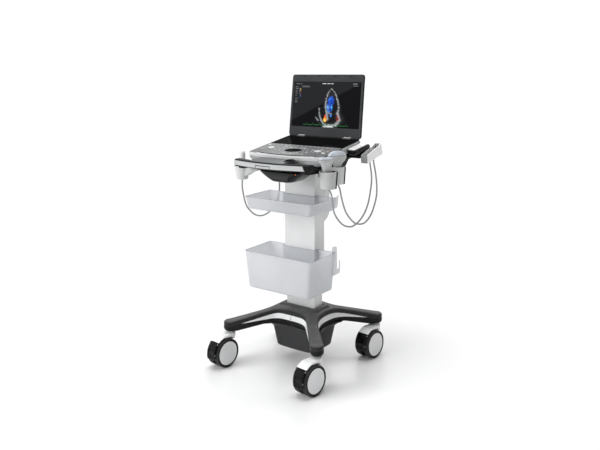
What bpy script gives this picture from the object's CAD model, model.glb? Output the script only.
import bpy
import bmesh
import math
import numpy as np
from mathutils import Vector, Matrix


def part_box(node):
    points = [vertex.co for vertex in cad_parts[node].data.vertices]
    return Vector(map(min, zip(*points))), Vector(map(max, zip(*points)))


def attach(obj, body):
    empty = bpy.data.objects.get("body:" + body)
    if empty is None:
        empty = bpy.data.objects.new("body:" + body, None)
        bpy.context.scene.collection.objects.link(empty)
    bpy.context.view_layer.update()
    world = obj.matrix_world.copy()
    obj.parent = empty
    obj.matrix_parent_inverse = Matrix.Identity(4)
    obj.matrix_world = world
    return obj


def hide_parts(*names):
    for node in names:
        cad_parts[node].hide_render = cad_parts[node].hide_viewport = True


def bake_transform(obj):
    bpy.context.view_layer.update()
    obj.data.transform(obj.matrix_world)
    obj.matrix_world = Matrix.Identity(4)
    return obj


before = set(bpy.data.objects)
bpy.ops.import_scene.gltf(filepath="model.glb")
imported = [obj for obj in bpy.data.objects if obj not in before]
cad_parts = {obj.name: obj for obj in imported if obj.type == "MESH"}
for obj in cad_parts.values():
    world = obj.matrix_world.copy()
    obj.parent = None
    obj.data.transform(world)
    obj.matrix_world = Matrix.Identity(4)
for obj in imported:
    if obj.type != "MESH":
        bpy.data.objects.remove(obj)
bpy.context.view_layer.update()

# ------------------------------------------------------------------ the frame
# Shapes are drawn in millimetres in one frame shared by base, column and dock
# and then put in the row's frame, whose origin is the footprint centre.
_lo, _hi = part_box("column_inner")
SH = np.array([(_lo.x + _hi.x) * 500.0, (_lo.y + _hi.y) * 500.0 + 8.5, _lo.z * 1000.0 - 190.0])


def row(p):
    return (np.asarray(p, float).reshape(-1, 3) + SH) / 1000.0


def rad(d):
    return d * math.pi / 180.0


def rotx(deg, origin):
    """Map from a leaning part's own axes to the drawing's axes."""
    c, s = math.cos(rad(deg)), math.sin(rad(deg))
    o = np.asarray(origin, float)

    def f(p):
        p = np.asarray(p, float).reshape(-1, 3)
        return np.stack([p[:, 0], p[:, 1] * c - p[:, 2] * s, p[:, 1] * s + p[:, 2] * c], 1) + o

    return f


HINGE = (0, 125.7, 895.6)
LAP = rotx(9.8, HINGE)      # scanner base: y towards the rear along the deck, z off the deck
LID = rotx(-6.7, HINGE)     # lid: z up the lid, y towards its back
IDN = lambda p: np.asarray(p, float).reshape(-1, 3)

# ------------------------------------------------------------------ materials


class N:
    """A socket or a number that does arithmetic by adding shader Math nodes."""

    tree = None

    def __init__(self, s):
        self.s = s

    @staticmethod
    def math(op, *args, clamp=False):
        n = N.tree.nodes.new("ShaderNodeMath")
        n.operation = op
        n.use_clamp = clamp
        for i, a in enumerate(args):
            a = a.s if isinstance(a, N) else a
            if isinstance(a, (int, float)):
                n.inputs[i].default_value = a
            else:
                N.tree.links.new(a, n.inputs[i])
        return N(n.outputs[0])

    def __add__(a, b): return N.math("ADD", a, b)
    __radd__ = __add__
    def __sub__(a, b): return N.math("SUBTRACT", a, b)
    def __rsub__(a, b): return N.math("SUBTRACT", b, a)
    def __mul__(a, b): return N.math("MULTIPLY", a, b)
    __rmul__ = __mul__
    def __truediv__(a, b): return N.math("DIVIDE", a, b)
    def __rtruediv__(a, b): return N.math("DIVIDE", b, a)


def nmin(a, b): return N.math("MINIMUM", a, b)
def nmax(a, b): return N.math("MAXIMUM", a, b)
def nabs(a): return N.math("ABSOLUTE", a)
def nsin(a): return N.math("SINE", a)
def nsqrt(a): return N.math("SQRT", nmax(a, 0.0))
def clamp01(a): return N.math("ADD", a, 0.0, clamp=True)


def step(a, lo, hi):
    """0 below lo, 1 above hi, smooth between."""
    n = N.tree.nodes.new("ShaderNodeMapRange")
    n.interpolation_type = "SMOOTHSTEP"
    for i, v in ((0, a), (1, lo), (2, hi), (3, 0.0), (4, 1.0)):
        v = v.s if isinstance(v, N) else v
        if isinstance(v, (int, float)):
            n.inputs[i].default_value = v
        else:
            N.tree.links.new(v, n.inputs[i])
    return N(n.outputs[0])


def window(a, lo, hi, soft):
    return step(a, lo - soft, lo + soft) * (1.0 - step(a, hi - soft, hi + soft))


def noise(vec, scale, detail=2.0, rough=0.5, w=0.0, out=0):
    n = N.tree.nodes.new("ShaderNodeTexNoise")
    n.noise_dimensions = "4D"
    n.inputs["Scale"].default_value = scale
    n.inputs["Detail"].default_value = detail
    n.inputs["Roughness"].default_value = rough
    n.inputs["W"].default_value = w
    N.tree.links.new(vec.s if isinstance(vec, N) else vec, n.inputs["Vector"])
    return N(n.outputs[out])


def mixc(fac, a, b):
    n = N.tree.nodes.new("ShaderNodeMix")
    n.data_type = "RGBA"
    for sock, v in ((n.inputs[0], fac), (n.inputs[6], a), (n.inputs[7], b)):
        v = v.s if isinstance(v, N) else v
        if isinstance(v, (int, float)):
            sock.default_value = v
        elif isinstance(v, (tuple, list)):
            sock.default_value = (*v[:3], 1.0)
        else:
            N.tree.links.new(v, sock)
    return N(n.outputs[2])


def begin(name):
    m = bpy.data.materials.new(name)
    m.use_nodes = True
    t = m.node_tree
    N.tree = t
    bsdf = t.nodes["Principled BSDF"]
    co = t.nodes.new("ShaderNodeTexCoord")
    return m, t, bsdf, co


def put(t, bsdf, key, v):
    v = v.s if isinstance(v, N) else v
    if isinstance(v, (int, float)):
        bsdf.inputs[key].default_value = v
    elif isinstance(v, (tuple, list)):
        bsdf.inputs[key].default_value = (*v[:3], 1.0)
    else:
        t.links.new(v, bsdf.inputs[key])


def bump(t, bsdf, height, strength=0.2, distance=0.0005):
    b = t.nodes.new("ShaderNodeBump")
    b.inputs["Strength"].default_value = strength
    b.inputs["Distance"].default_value = distance
    t.links.new(height.s if isinstance(height, N) else height, b.inputs["Height"])
    t.links.new(b.outputs[0], bsdf.inputs["Normal"])


def plastic(name, color, rough=0.42, grain=0.12, grain_mm=0.7, var=0.035, wear=0.25, coat=0.0, metal=0.0, dust=0.0, spec=0.5):
    """Moulded plastic: spark-eroded grain, slight tone changes, lighter and shinier edges, a little dust on top."""
    m, t, b, co = begin(name)
    obj = co.outputs["Object"]
    broad = noise(obj, 9.0, 3.0, 0.6)
    fine = noise(obj, 1000.0 / grain_mm / 2.2, 2.0, 0.55, w=3.0)
    dark = tuple(c * (1 - var * 2.2) for c in color)
    lite = tuple(min(1.0, c * (1 + var) + 0.004) for c in color)
    col = mixc(step(broad, 0.36, 0.64), dark, lite)
    col = mixc(step(fine, 0.42, 0.72) * 0.35, col, tuple(c * 0.86 for c in color))
    geo = t.nodes.new("ShaderNodeNewGeometry")
    edge = step(N(geo.outputs["Pointiness"]), 0.515, 0.58)
    worn = tuple(min(1.0, c * 1.15 + 0.05) for c in color)
    col = mixc(edge * wear * step(noise(obj, 60.0, 2.0, 0.5, w=7.0), 0.4, 0.62), col, worn)
    if dust:
        sep = t.nodes.new("ShaderNodeSeparateXYZ")
        t.links.new(geo.outputs["Normal"], sep.inputs[0])
        up = step(N(sep.outputs[2]), 0.3, 1.0) * (0.65 + step(noise(obj, 26.0, 4.0, 0.65, w=11.0), 0.45, 0.75) * 0.35)
        col = mixc(up * dust, col, (0.5, 0.5, 0.49))
    put(t, b, "Base Color", col)
    put(t, b, "Roughness", clamp01(rough + (broad - 0.5) * 0.12 + (fine - 0.5) * 0.1 - edge * 0.05))
    put(t, b, "Metallic", metal)
    put(t, b, "Specular IOR Level", spec)
    if coat:
        put(t, b, "Coat Weight", coat)
        put(t, b, "Coat Roughness", 0.06)
    bump(t, b, fine, grain, 0.0004)
    return m


def paint_metal(name, color, rough=0.32, metal=0.75):
    """Metallic paint: fine flake sparkle over a soft base, faint orange peel."""
    m, t, b, co = begin(name)
    obj = co.outputs["Object"]
    flake = t.nodes.new("ShaderNodeTexVoronoi")
    flake.inputs["Scale"].default_value = 1400.0
    t.links.new(obj, flake.inputs["Vector"])
    peel = noise(obj, 180.0, 2.0, 0.5)
    broad = noise(obj, 12.0, 2.0, 0.5, w=2.0)
    k = N(flake.outputs["Distance"])
    put(t, b, "Base Color", mixc(step(k, 0.1, 0.8) * 0.5 + step(broad, 0.3, 0.7) * 0.25, color, tuple(c * 0.78 for c in color)))
    put(t, b, "Roughness", clamp01(rough + (k - 0.4) * 0.14 + (broad - 0.5) * 0.08))
    put(t, b, "Metallic", metal)
    put(t, b, "Coat Weight", 0.25)
    put(t, b, "Coat Roughness", 0.15)
    bump(t, b, peel, 0.06, 0.0006)
    return m


def brushed(name, color, rough=0.28, along=(1.0, 1.0, 0.02)):
    """Drawn or turned steel with fine lines."""
    m, t, b, co = begin(name)
    mp = t.nodes.new("ShaderNodeMapping")
    mp.inputs["Scale"].default_value = along
    t.links.new(co.outputs["Object"], mp.inputs["Vector"])
    line = noise(N(mp.outputs[0]), 2600.0, 2.0, 0.6)
    broad = noise(co.outputs["Object"], 14.0, 2.0, 0.5)
    put(t, b, "Base Color", mixc(line, tuple(c * 0.8 for c in color), color))
    put(t, b, "Roughness", clamp01(rough + (line - 0.5) * 0.25 + (broad - 0.5) * 0.1))
    put(t, b, "Metallic", 1.0)
    bump(t, b, line, 0.08, 0.0002)
    return m


def rubber(name, color=(0.018, 0.018, 0.019), rough=0.62, scuff=0.35):
    m, t, b, co = begin(name)
    obj = co.outputs["Object"]
    fine = noise(obj, 900.0, 3.0, 0.6)
    broad = noise(obj, 30.0, 4.0, 0.65, w=5.0)
    worn = step(broad, 0.5, 0.72) * scuff
    put(t, b, "Base Color", mixc(worn, color, (0.075, 0.073, 0.07)))
    put(t, b, "Roughness", clamp01(rough + worn * 0.4 + (fine - 0.5) * 0.1))
    bump(t, b, fine, 0.25, 0.0004)
    return m


def frosted(name, clearness=0.36):
    """Frosted polycarbonate: mostly diffuse with light coming through, bluish at grazing edges."""
    m, t, b, co = begin(name)
    obj = co.outputs["Object"]
    fine = noise(obj, 1100.0, 2.0, 0.6)
    broad = noise(obj, 8.0, 3.0, 0.55, w=4.0)
    lw = t.nodes.new("ShaderNodeLayerWeight")
    lw.inputs["Blend"].default_value = 0.35
    rim = step(N(lw.outputs["Facing"]), 0.3, 1.0)
    col = mixc(rim, (0.86, 0.865, 0.88), (0.52, 0.55, 0.60))
    col = mixc(step(broad, 0.35, 0.65) * 0.25, col, (0.80, 0.81, 0.83))
    put(t, b, "Base Color", col)
    put(t, b, "Roughness", clamp01(0.34 + (broad - 0.5) * 0.15 + (fine - 0.5) * 0.12))
    put(t, b, "Specular IOR Level", 0.45)
    put(t, b, "Coat Weight", 0.12)
    bump(t, b, fine, 0.1, 0.0003)
    out = t.nodes["Material Output"]
    tr = t.nodes.new("ShaderNodeBsdfTranslucent")
    t.links.new(col.s, tr.inputs["Color"])
    clear = t.nodes.new("ShaderNodeBsdfTransparent")
    clear.inputs["Color"].default_value = (0.88, 0.89, 0.905, 1)
    mx1 = t.nodes.new("ShaderNodeMixShader")
    mx1.inputs[0].default_value = 0.38
    t.links.new(b.outputs[0], mx1.inputs[1])
    t.links.new(tr.outputs[0], mx1.inputs[2])
    mx2 = t.nodes.new("ShaderNodeMixShader")
    see = clamp01(clearness - rim * clearness * 0.85 + (broad - 0.5) * 0.08)
    t.links.new(see.s, mx2.inputs[0])
    t.links.new(mx1.outputs[0], mx2.inputs[1])
    t.links.new(clear.outputs[0], mx2.inputs[2])
    t.links.new(mx2.outputs[0], out.inputs["Surface"])
    return m


def gloss(name, color, rough=0.08, smudge=0.12, coat=0.5, spec=0.5, mirror=0.0):
    """Polished plastic or glass front with faint smudges."""
    m, t, b, co = begin(name)
    obj = co.outputs["Object"]
    s = noise(obj, 24.0, 4.0, 0.65)
    f = noise(obj, 420.0, 2.0, 0.5, w=2.0)
    put(t, b, "Base Color", mixc(step(s, 0.4, 0.7) * 0.5, color, tuple(c * 1.6 + 0.002 for c in color)))
    put(t, b, "Roughness", clamp01(rough + step(s, 0.45, 0.75) * smudge + (f - 0.5) * 0.02))
    put(t, b, "Specular IOR Level", spec)
    put(t, b, "Coat Weight", coat)
    put(t, b, "Coat Roughness", 0.03)
    bump(t, b, f, 0.02, 0.0002)
    if mirror:
        # anti-glare glass: an even weak reflection that does not grow at low angles
        g = t.nodes.new("ShaderNodeBsdfGlossy")
        t.links.new(clamp01(rough + step(s, 0.45, 0.75) * smudge).s, g.inputs["Roughness"])
        mx = t.nodes.new("ShaderNodeMixShader")
        mx.inputs[0].default_value = mirror
        t.links.new(b.outputs[0], mx.inputs[1])
        t.links.new(g.outputs[0], mx.inputs[2])
        t.links.new(mx.outputs[0], t.nodes["Material Output"].inputs["Surface"])
    return m


M = {
    "white": plastic("white_plastic", (0.72, 0.725, 0.725), 0.4, 0.05, 0.6, 0.012, 0.1, spec=0.35),
    "white_gloss": plastic("white_gloss_plastic", (0.90, 0.905, 0.905), 0.24, 0.02, 0.8, 0.012, 0.1, coat=0.2, spec=0.35),
    "column": plastic("column_paint", (0.78, 0.785, 0.78), 0.36, 0.05, 0.5, 0.012, 0.1, spec=0.35),
    "cup_a": plastic("probe_cup_plastic", (0.50, 0.505, 0.505), 0.36, 0.05, 0.6, 0.03, 0.15, spec=0.35),
    "cup_b": plastic("probe_cup_plastic_b", (0.62, 0.625, 0.625), 0.36, 0.05, 0.6, 0.03, 0.15, spec=0.35),
    "hanger_end": plastic("hanger_end_plastic", (0.27, 0.272, 0.275), 0.4, 0.05, 0.6, 0.03, 0.15, spec=0.3),
    "frost_edge": plastic("frosted_edge", (0.36, 0.39, 0.46), 0.3, 0.05, 0.6, 0.03, 0.1),
    "column_in": plastic("column_inner_paint", (0.80, 0.805, 0.80), 0.34, 0.05, 0.5, 0.015, 0.1, spec=0.35),
    "cover": plastic("base_cover_plastic", (0.020, 0.0205, 0.0215), 0.40, 0.14, 0.8, 0.04, 0.3, dust=0.24, spec=0.16),
    "frame": plastic("base_frame_plastic", (0.0085, 0.0088, 0.0095), 0.36, 0.12, 0.8, 0.05, 0.3, spec=0.12),
    "box": plastic("power_housing_plastic", (0.036, 0.0365, 0.038), 0.46, 0.16, 0.8, 0.05, 0.3, spec=0.15),
    "band": plastic("base_band_plastic", (0.80, 0.805, 0.81), 0.28, 0.06, 0.6, 0.02, 0.2),
    "black": plastic("black_plastic", (0.006, 0.0063, 0.007), 0.38, 0.10, 0.7, 0.06, 0.25, spec=0.12),
    "black_gloss": gloss("black_gloss_plastic", (0.0045, 0.0045, 0.005), 0.14, 0.1, coat=0.05, spec=0.2),
    "tyre": rubber("tyre_rubber", (0.010, 0.010, 0.0105)),
    "rim": plastic("wheel_rim_plastic", (0.006, 0.006, 0.0065), 0.3, 0.08, 0.7, 0.05, 0.2, spec=0.15),
    "hub": plastic("wheel_hub_plastic", (0.84, 0.845, 0.85), 0.42, 0.06, 0.8, 0.02, 0.1, spec=0.3),
    "steel": brushed("brushed_steel", (0.56, 0.57, 0.58)),
    "silver": paint_metal("silver_paint", (0.62, 0.64, 0.65)),
    "silver_rim": plastic("silver_plastic", (0.55, 0.56, 0.565), 0.3, 0.05, 0.6, 0.02, 0.1, metal=0.15),
    "console": plastic("key_panel_plastic", (0.175, 0.178, 0.182), 0.4, 0.3, 0.9, 0.06, 0.15, metal=0.1, spec=0.35),
    "console_side": plastic("scanner_shell_plastic", (0.46, 0.47, 0.475), 0.38, 0.06, 0.6, 0.02, 0.12, spec=0.35),
    "glass": gloss("touch_glass", (0.004, 0.004, 0.0043), 0.07, 0.06, coat=0.0, spec=0.0, mirror=0.035),
    "pad": gloss("trackpad_surface", (0.005, 0.005, 0.0055), 0.3, 0.1, coat=0.0, spec=0.0, mirror=0.02),
    "lid": plastic("lid_plastic", (0.011, 0.013, 0.0145), 0.38, 0.12, 0.6, 0.05, 0.25, spec=0.14),
    "bezel": plastic("bezel_plastic", (0.030, 0.033, 0.036), 0.42, 0.10, 0.6, 0.04, 0.2, spec=0.25),
    "deck_top": plastic("handle_deck_plastic", (0.050, 0.062, 0.066), 0.3, 0.10, 0.7, 0.04, 0.2, spec=0.4),
    "barrel": plastic("hinge_barrel_plastic", (0.11, 0.112, 0.115), 0.35, 0.06, 0.6, 0.04, 0.2),
    "frost_tray": frosted("frosted_tray_plastic", 0.5),
    "deck": plastic("dock_plastic", (0.060, 0.068, 0.071), 0.36, 0.10, 0.7, 0.04, 0.2, spec=0.4),
    "cable": plastic("cable_jacket", (0.34, 0.345, 0.35), 0.36, 0.04, 0.5, 0.03, 0.1, spec=0.35),
    "probe": plastic("probe_plastic", (0.52, 0.525, 0.53), 0.34, 0.2, 0.9, 0.05, 0.12, spec=0.35),
    "lens": gloss("probe_lens_rubber", (0.52, 0.57, 0.63), 0.3, 0.1, coat=0.1, spec=0.3),
    "key": plastic("white_key", (0.76, 0.77, 0.77), 0.25, 0.03, 0.6, 0.012, 0.1, coat=0.2, spec=0.35),
    "frost": frosted("frosted_plastic"),
}

# -------------------------------------------------------------- mesh building


def build(name, verts, faces, mat, body, xf=IDN, sharp=32, wn=True, slot=None, stands=()):
    me = bpy.data.meshes.new(name)
    me.from_pydata([tuple(v) for v in row(xf(np.asarray(verts, float)))], [], [tuple(f) for f in faces])
    bm = bmesh.new()
    bm.from_mesh(me)
    bmesh.ops.remove_doubles(bm, verts=bm.verts, dist=2e-6)
    bmesh.ops.dissolve_degenerate(bm, dist=1e-6, edges=bm.edges)
    bmesh.ops.recalc_face_normals(bm, faces=bm.faces)
    bm.to_mesh(me)
    bm.free()
    me.polygons.foreach_set("use_smooth", [True] * len(me.polygons))
    me.set_sharp_from_angle(angle=rad(sharp))
    me.materials.append(M[mat] if isinstance(mat, str) else mat)
    ob = bpy.data.objects.new(name, me)
    bpy.context.scene.collection.objects.link(ob)
    if wn:
        w = ob.modifiers.new("even_normals", "WEIGHTED_NORMAL")
        w.keep_sharp = True
        w.weight = 60
    if body:
        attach(ob, body)
    if stands:
        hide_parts(*stands)
    return ob


def rings_mesh(rings, cap0=True, cap1=True, wrap=False):
    n = len(rings[0])
    verts = np.concatenate([np.asarray(r, float).reshape(-1, 3) for r in rings])
    faces = []
    m = len(rings)
    for k in range(m if wrap else m - 1):
        a, b = k * n, ((k + 1) % m) * n
        for i in range(n):
            j = (i + 1) % n
            faces.append((a + i, a + j, b + j, b + i))
    if not wrap:
        if cap0:
            faces.append(tuple(range(n))[::-1])
        if cap1:
            faces.append(tuple((m - 1) * n + i for i in range(n)))
    return verts, faces


def offset(poly, d):
    """Closed 2-D outline moved inwards by d (outwards if negative); the outline runs anticlockwise."""
    p = np.asarray(poly, float)
    if abs(d) < 1e-9:
        return p.copy()
    a, b = np.roll(p, 1, 0), np.roll(p, -1, 0)
    e0, e1 = p - a, b - p
    e0 /= np.linalg.norm(e0, axis=1)[:, None] + 1e-12
    e1 /= np.linalg.norm(e1, axis=1)[:, None] + 1e-12
    n0, n1 = np.stack([-e0[:, 1], e0[:, 0]], 1), np.stack([-e1[:, 1], e1[:, 0]], 1)
    nn = n0 + n1
    nn /= np.linalg.norm(nn, axis=1)[:, None] + 1e-12
    k = np.clip((nn * n0).sum(1), 0.5, 1)
    return p + nn * (d / k)[:, None]


def ccw(poly):
    p = np.asarray(poly, float)
    x, y = p[:, 0], p[:, 1]
    return p if (x * np.roll(y, -1) - np.roll(x, -1) * y).sum() > 0 else p[::-1]


def rrect(x0, x1, y0, y1, r, n=6):
    r = min(r, (x1 - x0) / 2 - 1e-3, (y1 - y0) / 2 - 1e-3)
    out = []
    for cx, cy, a0 in ((x1 - r, y1 - r, 0), (x0 + r, y1 - r, 90), (x0 + r, y0 + r, 180), (x1 - r, y0 + r, 270)):
        for i in range(n + 1):
            a = rad(a0 + 90 * i / n)
            out.append((cx + r * math.cos(a), cy + r * math.sin(a)))
    return np.array(out)


def ellipse(cx, cy, a, b, n=48, e=2.0, ang=0.0):
    out = []
    for i in range(n):
        t = 2 * math.pi * i / n
        c, s = math.cos(t), math.sin(t)
        x = a * math.copysign(abs(c) ** (2 / e), c)
        y = b * math.copysign(abs(s) ** (2 / e), s)
        out.append((cx + x * math.cos(ang) - y * math.sin(ang), cy + x * math.sin(ang) + y * math.cos(ang)))
    return np.array(out)


def smooth_poly(pts, rounds=3):
    """Chaikin corner cutting on a closed outline."""
    p = np.asarray(pts, float)
    for _ in range(rounds):
        q = np.roll(p, -1, 0)
        p = np.stack([0.75 * p + 0.25 * q, 0.25 * p + 0.75 * q], 1).reshape(-1, 2)
    return p


def lay(poly, z):
    return np.column_stack([poly, np.full(len(poly), z) if np.isscalar(z) else z])


def slab(poly, z0, z1, r0=0.6, r1=0.6, seg=3, draft=0.0):
    """Upright solid on an outline, with rounded lower and upper edges."""
    p = ccw(poly)
    rings = []
    r0, r1 = min(r0, (z1 - z0) * 0.499), min(r1, (z1 - z0) * 0.499)
    for i in range(seg + 1):
        a = rad(90 * i / seg)
        rings.append(lay(offset(p, r0 * (1 - math.sin(a))), z0 + r0 * (1 - math.cos(a))))
    for i in range(seg + 1):
        a = rad(90 * i / seg)
        rings.append(lay(offset(p, draft + r1 * (1 - math.cos(a))), z1 - r1 * (1 - math.sin(a))))
    return rings_mesh(rings)


def ax(order):
    """Reorders slab axes: 'yzx' draws the outline in (y, z) and extrudes it along x."""
    if order == "yzx":
        return lambda p: IDN(p)[:, [2, 0, 1]]
    if order == "xzy":
        return lambda p: IDN(p)[:, [0, 2, 1]]
    return IDN


def then(f, g):
    return lambda p: g(f(p))


def shifted(dx, dy, dz):
    return lambda p: IDN(p) + np.array([dx, dy, dz])


def turned(profile, n=48):
    """Surface of revolution about z from (radius, z) pairs that start and end on the axis or close on themselves."""
    pr = [tuple(map(float, q)) for q in profile]
    closed = abs(pr[0][0] - pr[-1][0]) < 1e-9 and abs(pr[0][1] - pr[-1][1]) < 1e-9
    if closed:
        pr = pr[:-1]
    verts, index = [], []
    for r, z in pr:
        if r < 1e-6:
            index.append([len(verts)] * n)
            verts.append((0, 0, z))
        else:
            index.append(list(range(len(verts), len(verts) + n)))
            verts += [(r * math.cos(2 * math.pi * i / n), r * math.sin(2 * math.pi * i / n), z) for i in range(n)]
    faces = []
    m = len(pr)
    for k in range(m if closed else m - 1):
        a, b = index[k], index[(k + 1) % m]
        for i in range(n):
            j = (i + 1) % n
            f = []
            for v in (a[i], a[j], b[j], b[i]):
                if v not in f:
                    f.append(v)
            if len(f) > 2:
                faces.append(tuple(f))
    return np.array(verts), faces


def fillet(profile, radii, seg=4):
    """Rounds the corners of an open (radius, z) polyline."""
    p = [np.array(q, float) for q in profile]
    out = [p[0]]
    for i in range(1, len(p) - 1):
        r = radii[i] if isinstance(radii, (list, tuple)) else radii
        a, b, c = p[i - 1], p[i], p[i + 1]
        u, v = a - b, c - b
        lu, lv = np.linalg.norm(u), np.linalg.norm(v)
        if r <= 0 or lu < 1e-6 or lv < 1e-6:
            out.append(b)
            continue
        u, v = u / lu, v / lv
        ang = math.acos(max(-1, min(1, float(u @ v))))
        if ang > rad(175):
            out.append(b)
            continue
        d = min(r / math.tan(ang / 2), lu * 0.48, lv * 0.48)
        for k in range(seg + 1):
            t = k / seg
            out.append((b + u * d) * (1 - t) ** 2 + 2 * b * t * (1 - t) + (b + v * d) * t * t)
    out.append(p[-1])
    return [tuple(q) for q in out]


def spline(points, n):
    """Catmull-Rom points through a list, n per span."""
    p = np.asarray(points, float)
    q = np.vstack([2 * p[0] - p[1], p, 2 * p[-1] - p[-2]])
    out = []
    for i in range(1, len(q) - 2):
        a, b, c, d = q[i - 1], q[i], q[i + 1], q[i + 2]
        for k in range(n):
            t = k / n
            out.append(0.5 * ((2 * b) + (c - a) * t + (2 * a - 5 * b + 4 * c - d) * t * t + (3 * b - a - 3 * c + d) * t ** 3))
    out.append(p[-1])
    return np.array(out)


def swept(path, radius, n=14):
    """Round tube along a path, radius a number or one per point, ends capped with small domes."""
    p = np.asarray(path, float)
    m = len(p)
    r = np.full(m, float(radius)) if np.isscalar(radius) else np.asarray(radius, float)
    tan = np.gradient(p, axis=0)
    tan /= np.linalg.norm(tan, axis=1)[:, None]
    ref = np.array([1.0, 0, 0]) if abs(tan[0][0]) < 0.8 else np.array([0, 1.0, 0])
    u = np.cross(tan[0], ref)
    u /= np.linalg.norm(u)
    rings = []
    for i in range(m):
        u = u - tan[i] * (u @ tan[i])
        u /= np.linalg.norm(u)
        v = np.cross(tan[i], u)
        a = np.linspace(0, 2 * math.pi, n, endpoint=False)
        rings.append(p[i] + r[i] * (np.cos(a)[:, None] * u + np.sin(a)[:, None] * v))
    first = p[0] - tan[0] * r[0] * 0.4 + (rings[0] - p[0]) * 0.6
    last = p[-1] + tan[-1] * r[-1] * 0.4 + (rings[-1] - p[-1]) * 0.6
    return rings_mesh([first] + rings + [last])


def join(*parts):
    verts, faces, k = [], [], 0
    for v, f in parts:
        verts.append(np.asarray(v, float).reshape(-1, 3))
        faces += [tuple(i + k for i in q) for q in f]
        k += len(v)
    return np.concatenate(verts), faces


def moved(part, fn):
    return fn(part[0]), part[1]


def tmp_object(part, xf=IDN):
    me = bpy.data.meshes.new("tmp")
    me.from_pydata([tuple(v) for v in row(xf(part[0]))], [], [tuple(f) for f in part[1]])
    bm = bmesh.new()
    bm.from_mesh(me)
    bmesh.ops.remove_doubles(bm, verts=bm.verts, dist=2e-6)
    bmesh.ops.recalc_face_normals(bm, faces=bm.faces)
    bm.to_mesh(me)
    bm.free()
    ob = bpy.data.objects.new("tmp", me)
    bpy.context.scene.collection.objects.link(ob)
    return ob


def carve(ob, part, op="DIFFERENCE", xf=IDN):
    """Exact boolean with a temporary solid, applied at once."""
    cutter = tmp_object(part, xf)
    keep = [(m.type, m.name) for m in ob.modifiers]
    mods = list(ob.modifiers)
    for m in mods:
        ob.modifiers.remove(m)
    m = ob.modifiers.new("cut", "BOOLEAN")
    m.operation, m.object, m.solver = op, cutter, "EXACT"
    bpy.context.view_layer.update()
    dg = bpy.context.evaluated_depsgraph_get()
    me = bpy.data.meshes.new_from_object(ob.evaluated_get(dg))
    ob.modifiers.clear()
    old = ob.data
    mats = [x for x in old.materials]
    ob.data = me
    bpy.data.meshes.remove(old)
    bpy.data.objects.remove(cutter)
    me.polygons.foreach_set("use_smooth", [True] * len(me.polygons))
    me.set_sharp_from_angle(angle=rad(32))
    if any(k[0] == "WEIGHTED_NORMAL" for k in keep):
        w = ob.modifiers.new("even_normals", "WEIGHTED_NORMAL")
        w.keep_sharp = True
        w.weight = 60
    return ob

# -------------------------------------------------------------------- casters
R0 = 55.0
TRAIL = 40.0
FLOOR, BASE_Y = 12.8, -11.0
SWC, SWS = math.cos(rad(-7)), math.sin(rad(-7))     # the casters stand turned a little


def polar(r, deg):
    """(y, z) about the axle: 0 points to the front, 90 up."""
    return (-TRAIL - r * math.cos(rad(deg)), R0 + r * math.sin(rad(deg)))


def arc_slab(r0, r1, a0, a1, half, round_mm, n=26, crown=0.0, seg=4):
    """Curved plate about the axle line: rounded-rectangle section carried round an arc."""
    sec = rrect(-half, half, r0, r1, round_mm, seg)
    rings = []
    for i in range(n + 1):
        t = i / n
        # ends drawn in a little so that they look moulded, not sawn
        e = min(t, 1 - t) * (a1 - a0)
        k = 1.0 - 0.10 * max(0.0, 1 - e / 3.0) ** 2
        a = a0 + (a1 - a0) * t
        pts = []
        for x, r in sec:
            rr = (r0 + r1) / 2 + (r - (r0 + r1) / 2) * k
            rr -= crown * (x / half) ** 2 * (1 if r > (r0 + r1) / 2 else 0)
            y, z = polar(rr, a)
            pts.append((x * (0.96 + 0.04 * k), y, z))
        rings.append(np.array(pts))
    return rings_mesh(rings)


def remeshed(parts, voxel, smooth_it, factor=0.5):
    """Union of closed parts by voxel remesh, then smoothed: soft moulded blends. Drawn in mm, returned in mm."""
    me = bpy.data.meshes.new("blob")
    v, f = join(*parts)
    me.from_pydata([tuple(p / 1000.0) for p in v], [], [tuple(q) for q in f])
    bm = bmesh.new()
    bm.from_mesh(me)
    bmesh.ops.remove_doubles(bm, verts=bm.verts, dist=1e-6)
    bmesh.ops.recalc_face_normals(bm, faces=bm.faces)
    bm.to_mesh(me)
    bm.free()
    ob = bpy.data.objects.new("blob", me)
    bpy.context.scene.collection.objects.link(ob)
    r = ob.modifiers.new("r", "REMESH")
    r.mode = "VOXEL"
    r.voxel_size = voxel / 1000.0
    s = ob.modifiers.new("s", "SMOOTH")
    s.iterations = smooth_it
    s.factor = factor
    bpy.context.view_layer.update()
    out = bpy.data.meshes.new_from_object(ob.evaluated_get(bpy.context.evaluated_depsgraph_get()))
    co = np.zeros(len(out.vertices) * 3)
    out.vertices.foreach_get("co", co)
    faces = [tuple(p.vertices) for p in out.polygons]
    bpy.data.objects.remove(ob)
    bpy.data.meshes.remove(me)
    bpy.data.meshes.remove(out)
    return co.reshape(-1, 3) * 1000.0, faces


def paint_faces(ob, mats, pick, off=(0, 0, 0)):
    """Gives each face a material by its centre (drawing mm, minus off)."""
    me = ob.data
    me.materials.clear()
    for m in mats:
        me.materials.append(M[m] if isinstance(m, str) else m)
    n = len(me.polygons)
    c = np.zeros(n * 3)
    me.polygons.foreach_get("center", c)
    c = c.reshape(-1, 3) * 1000.0 - SH - np.asarray(off, float)
    nr = np.zeros(n * 3)
    me.polygons.foreach_get("normal", nr)
    idx = pick(c, nr.reshape(-1, 3))
    me.polygons.foreach_set("material_index", np.asarray(idx, np.int32))
    me.update()


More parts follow.
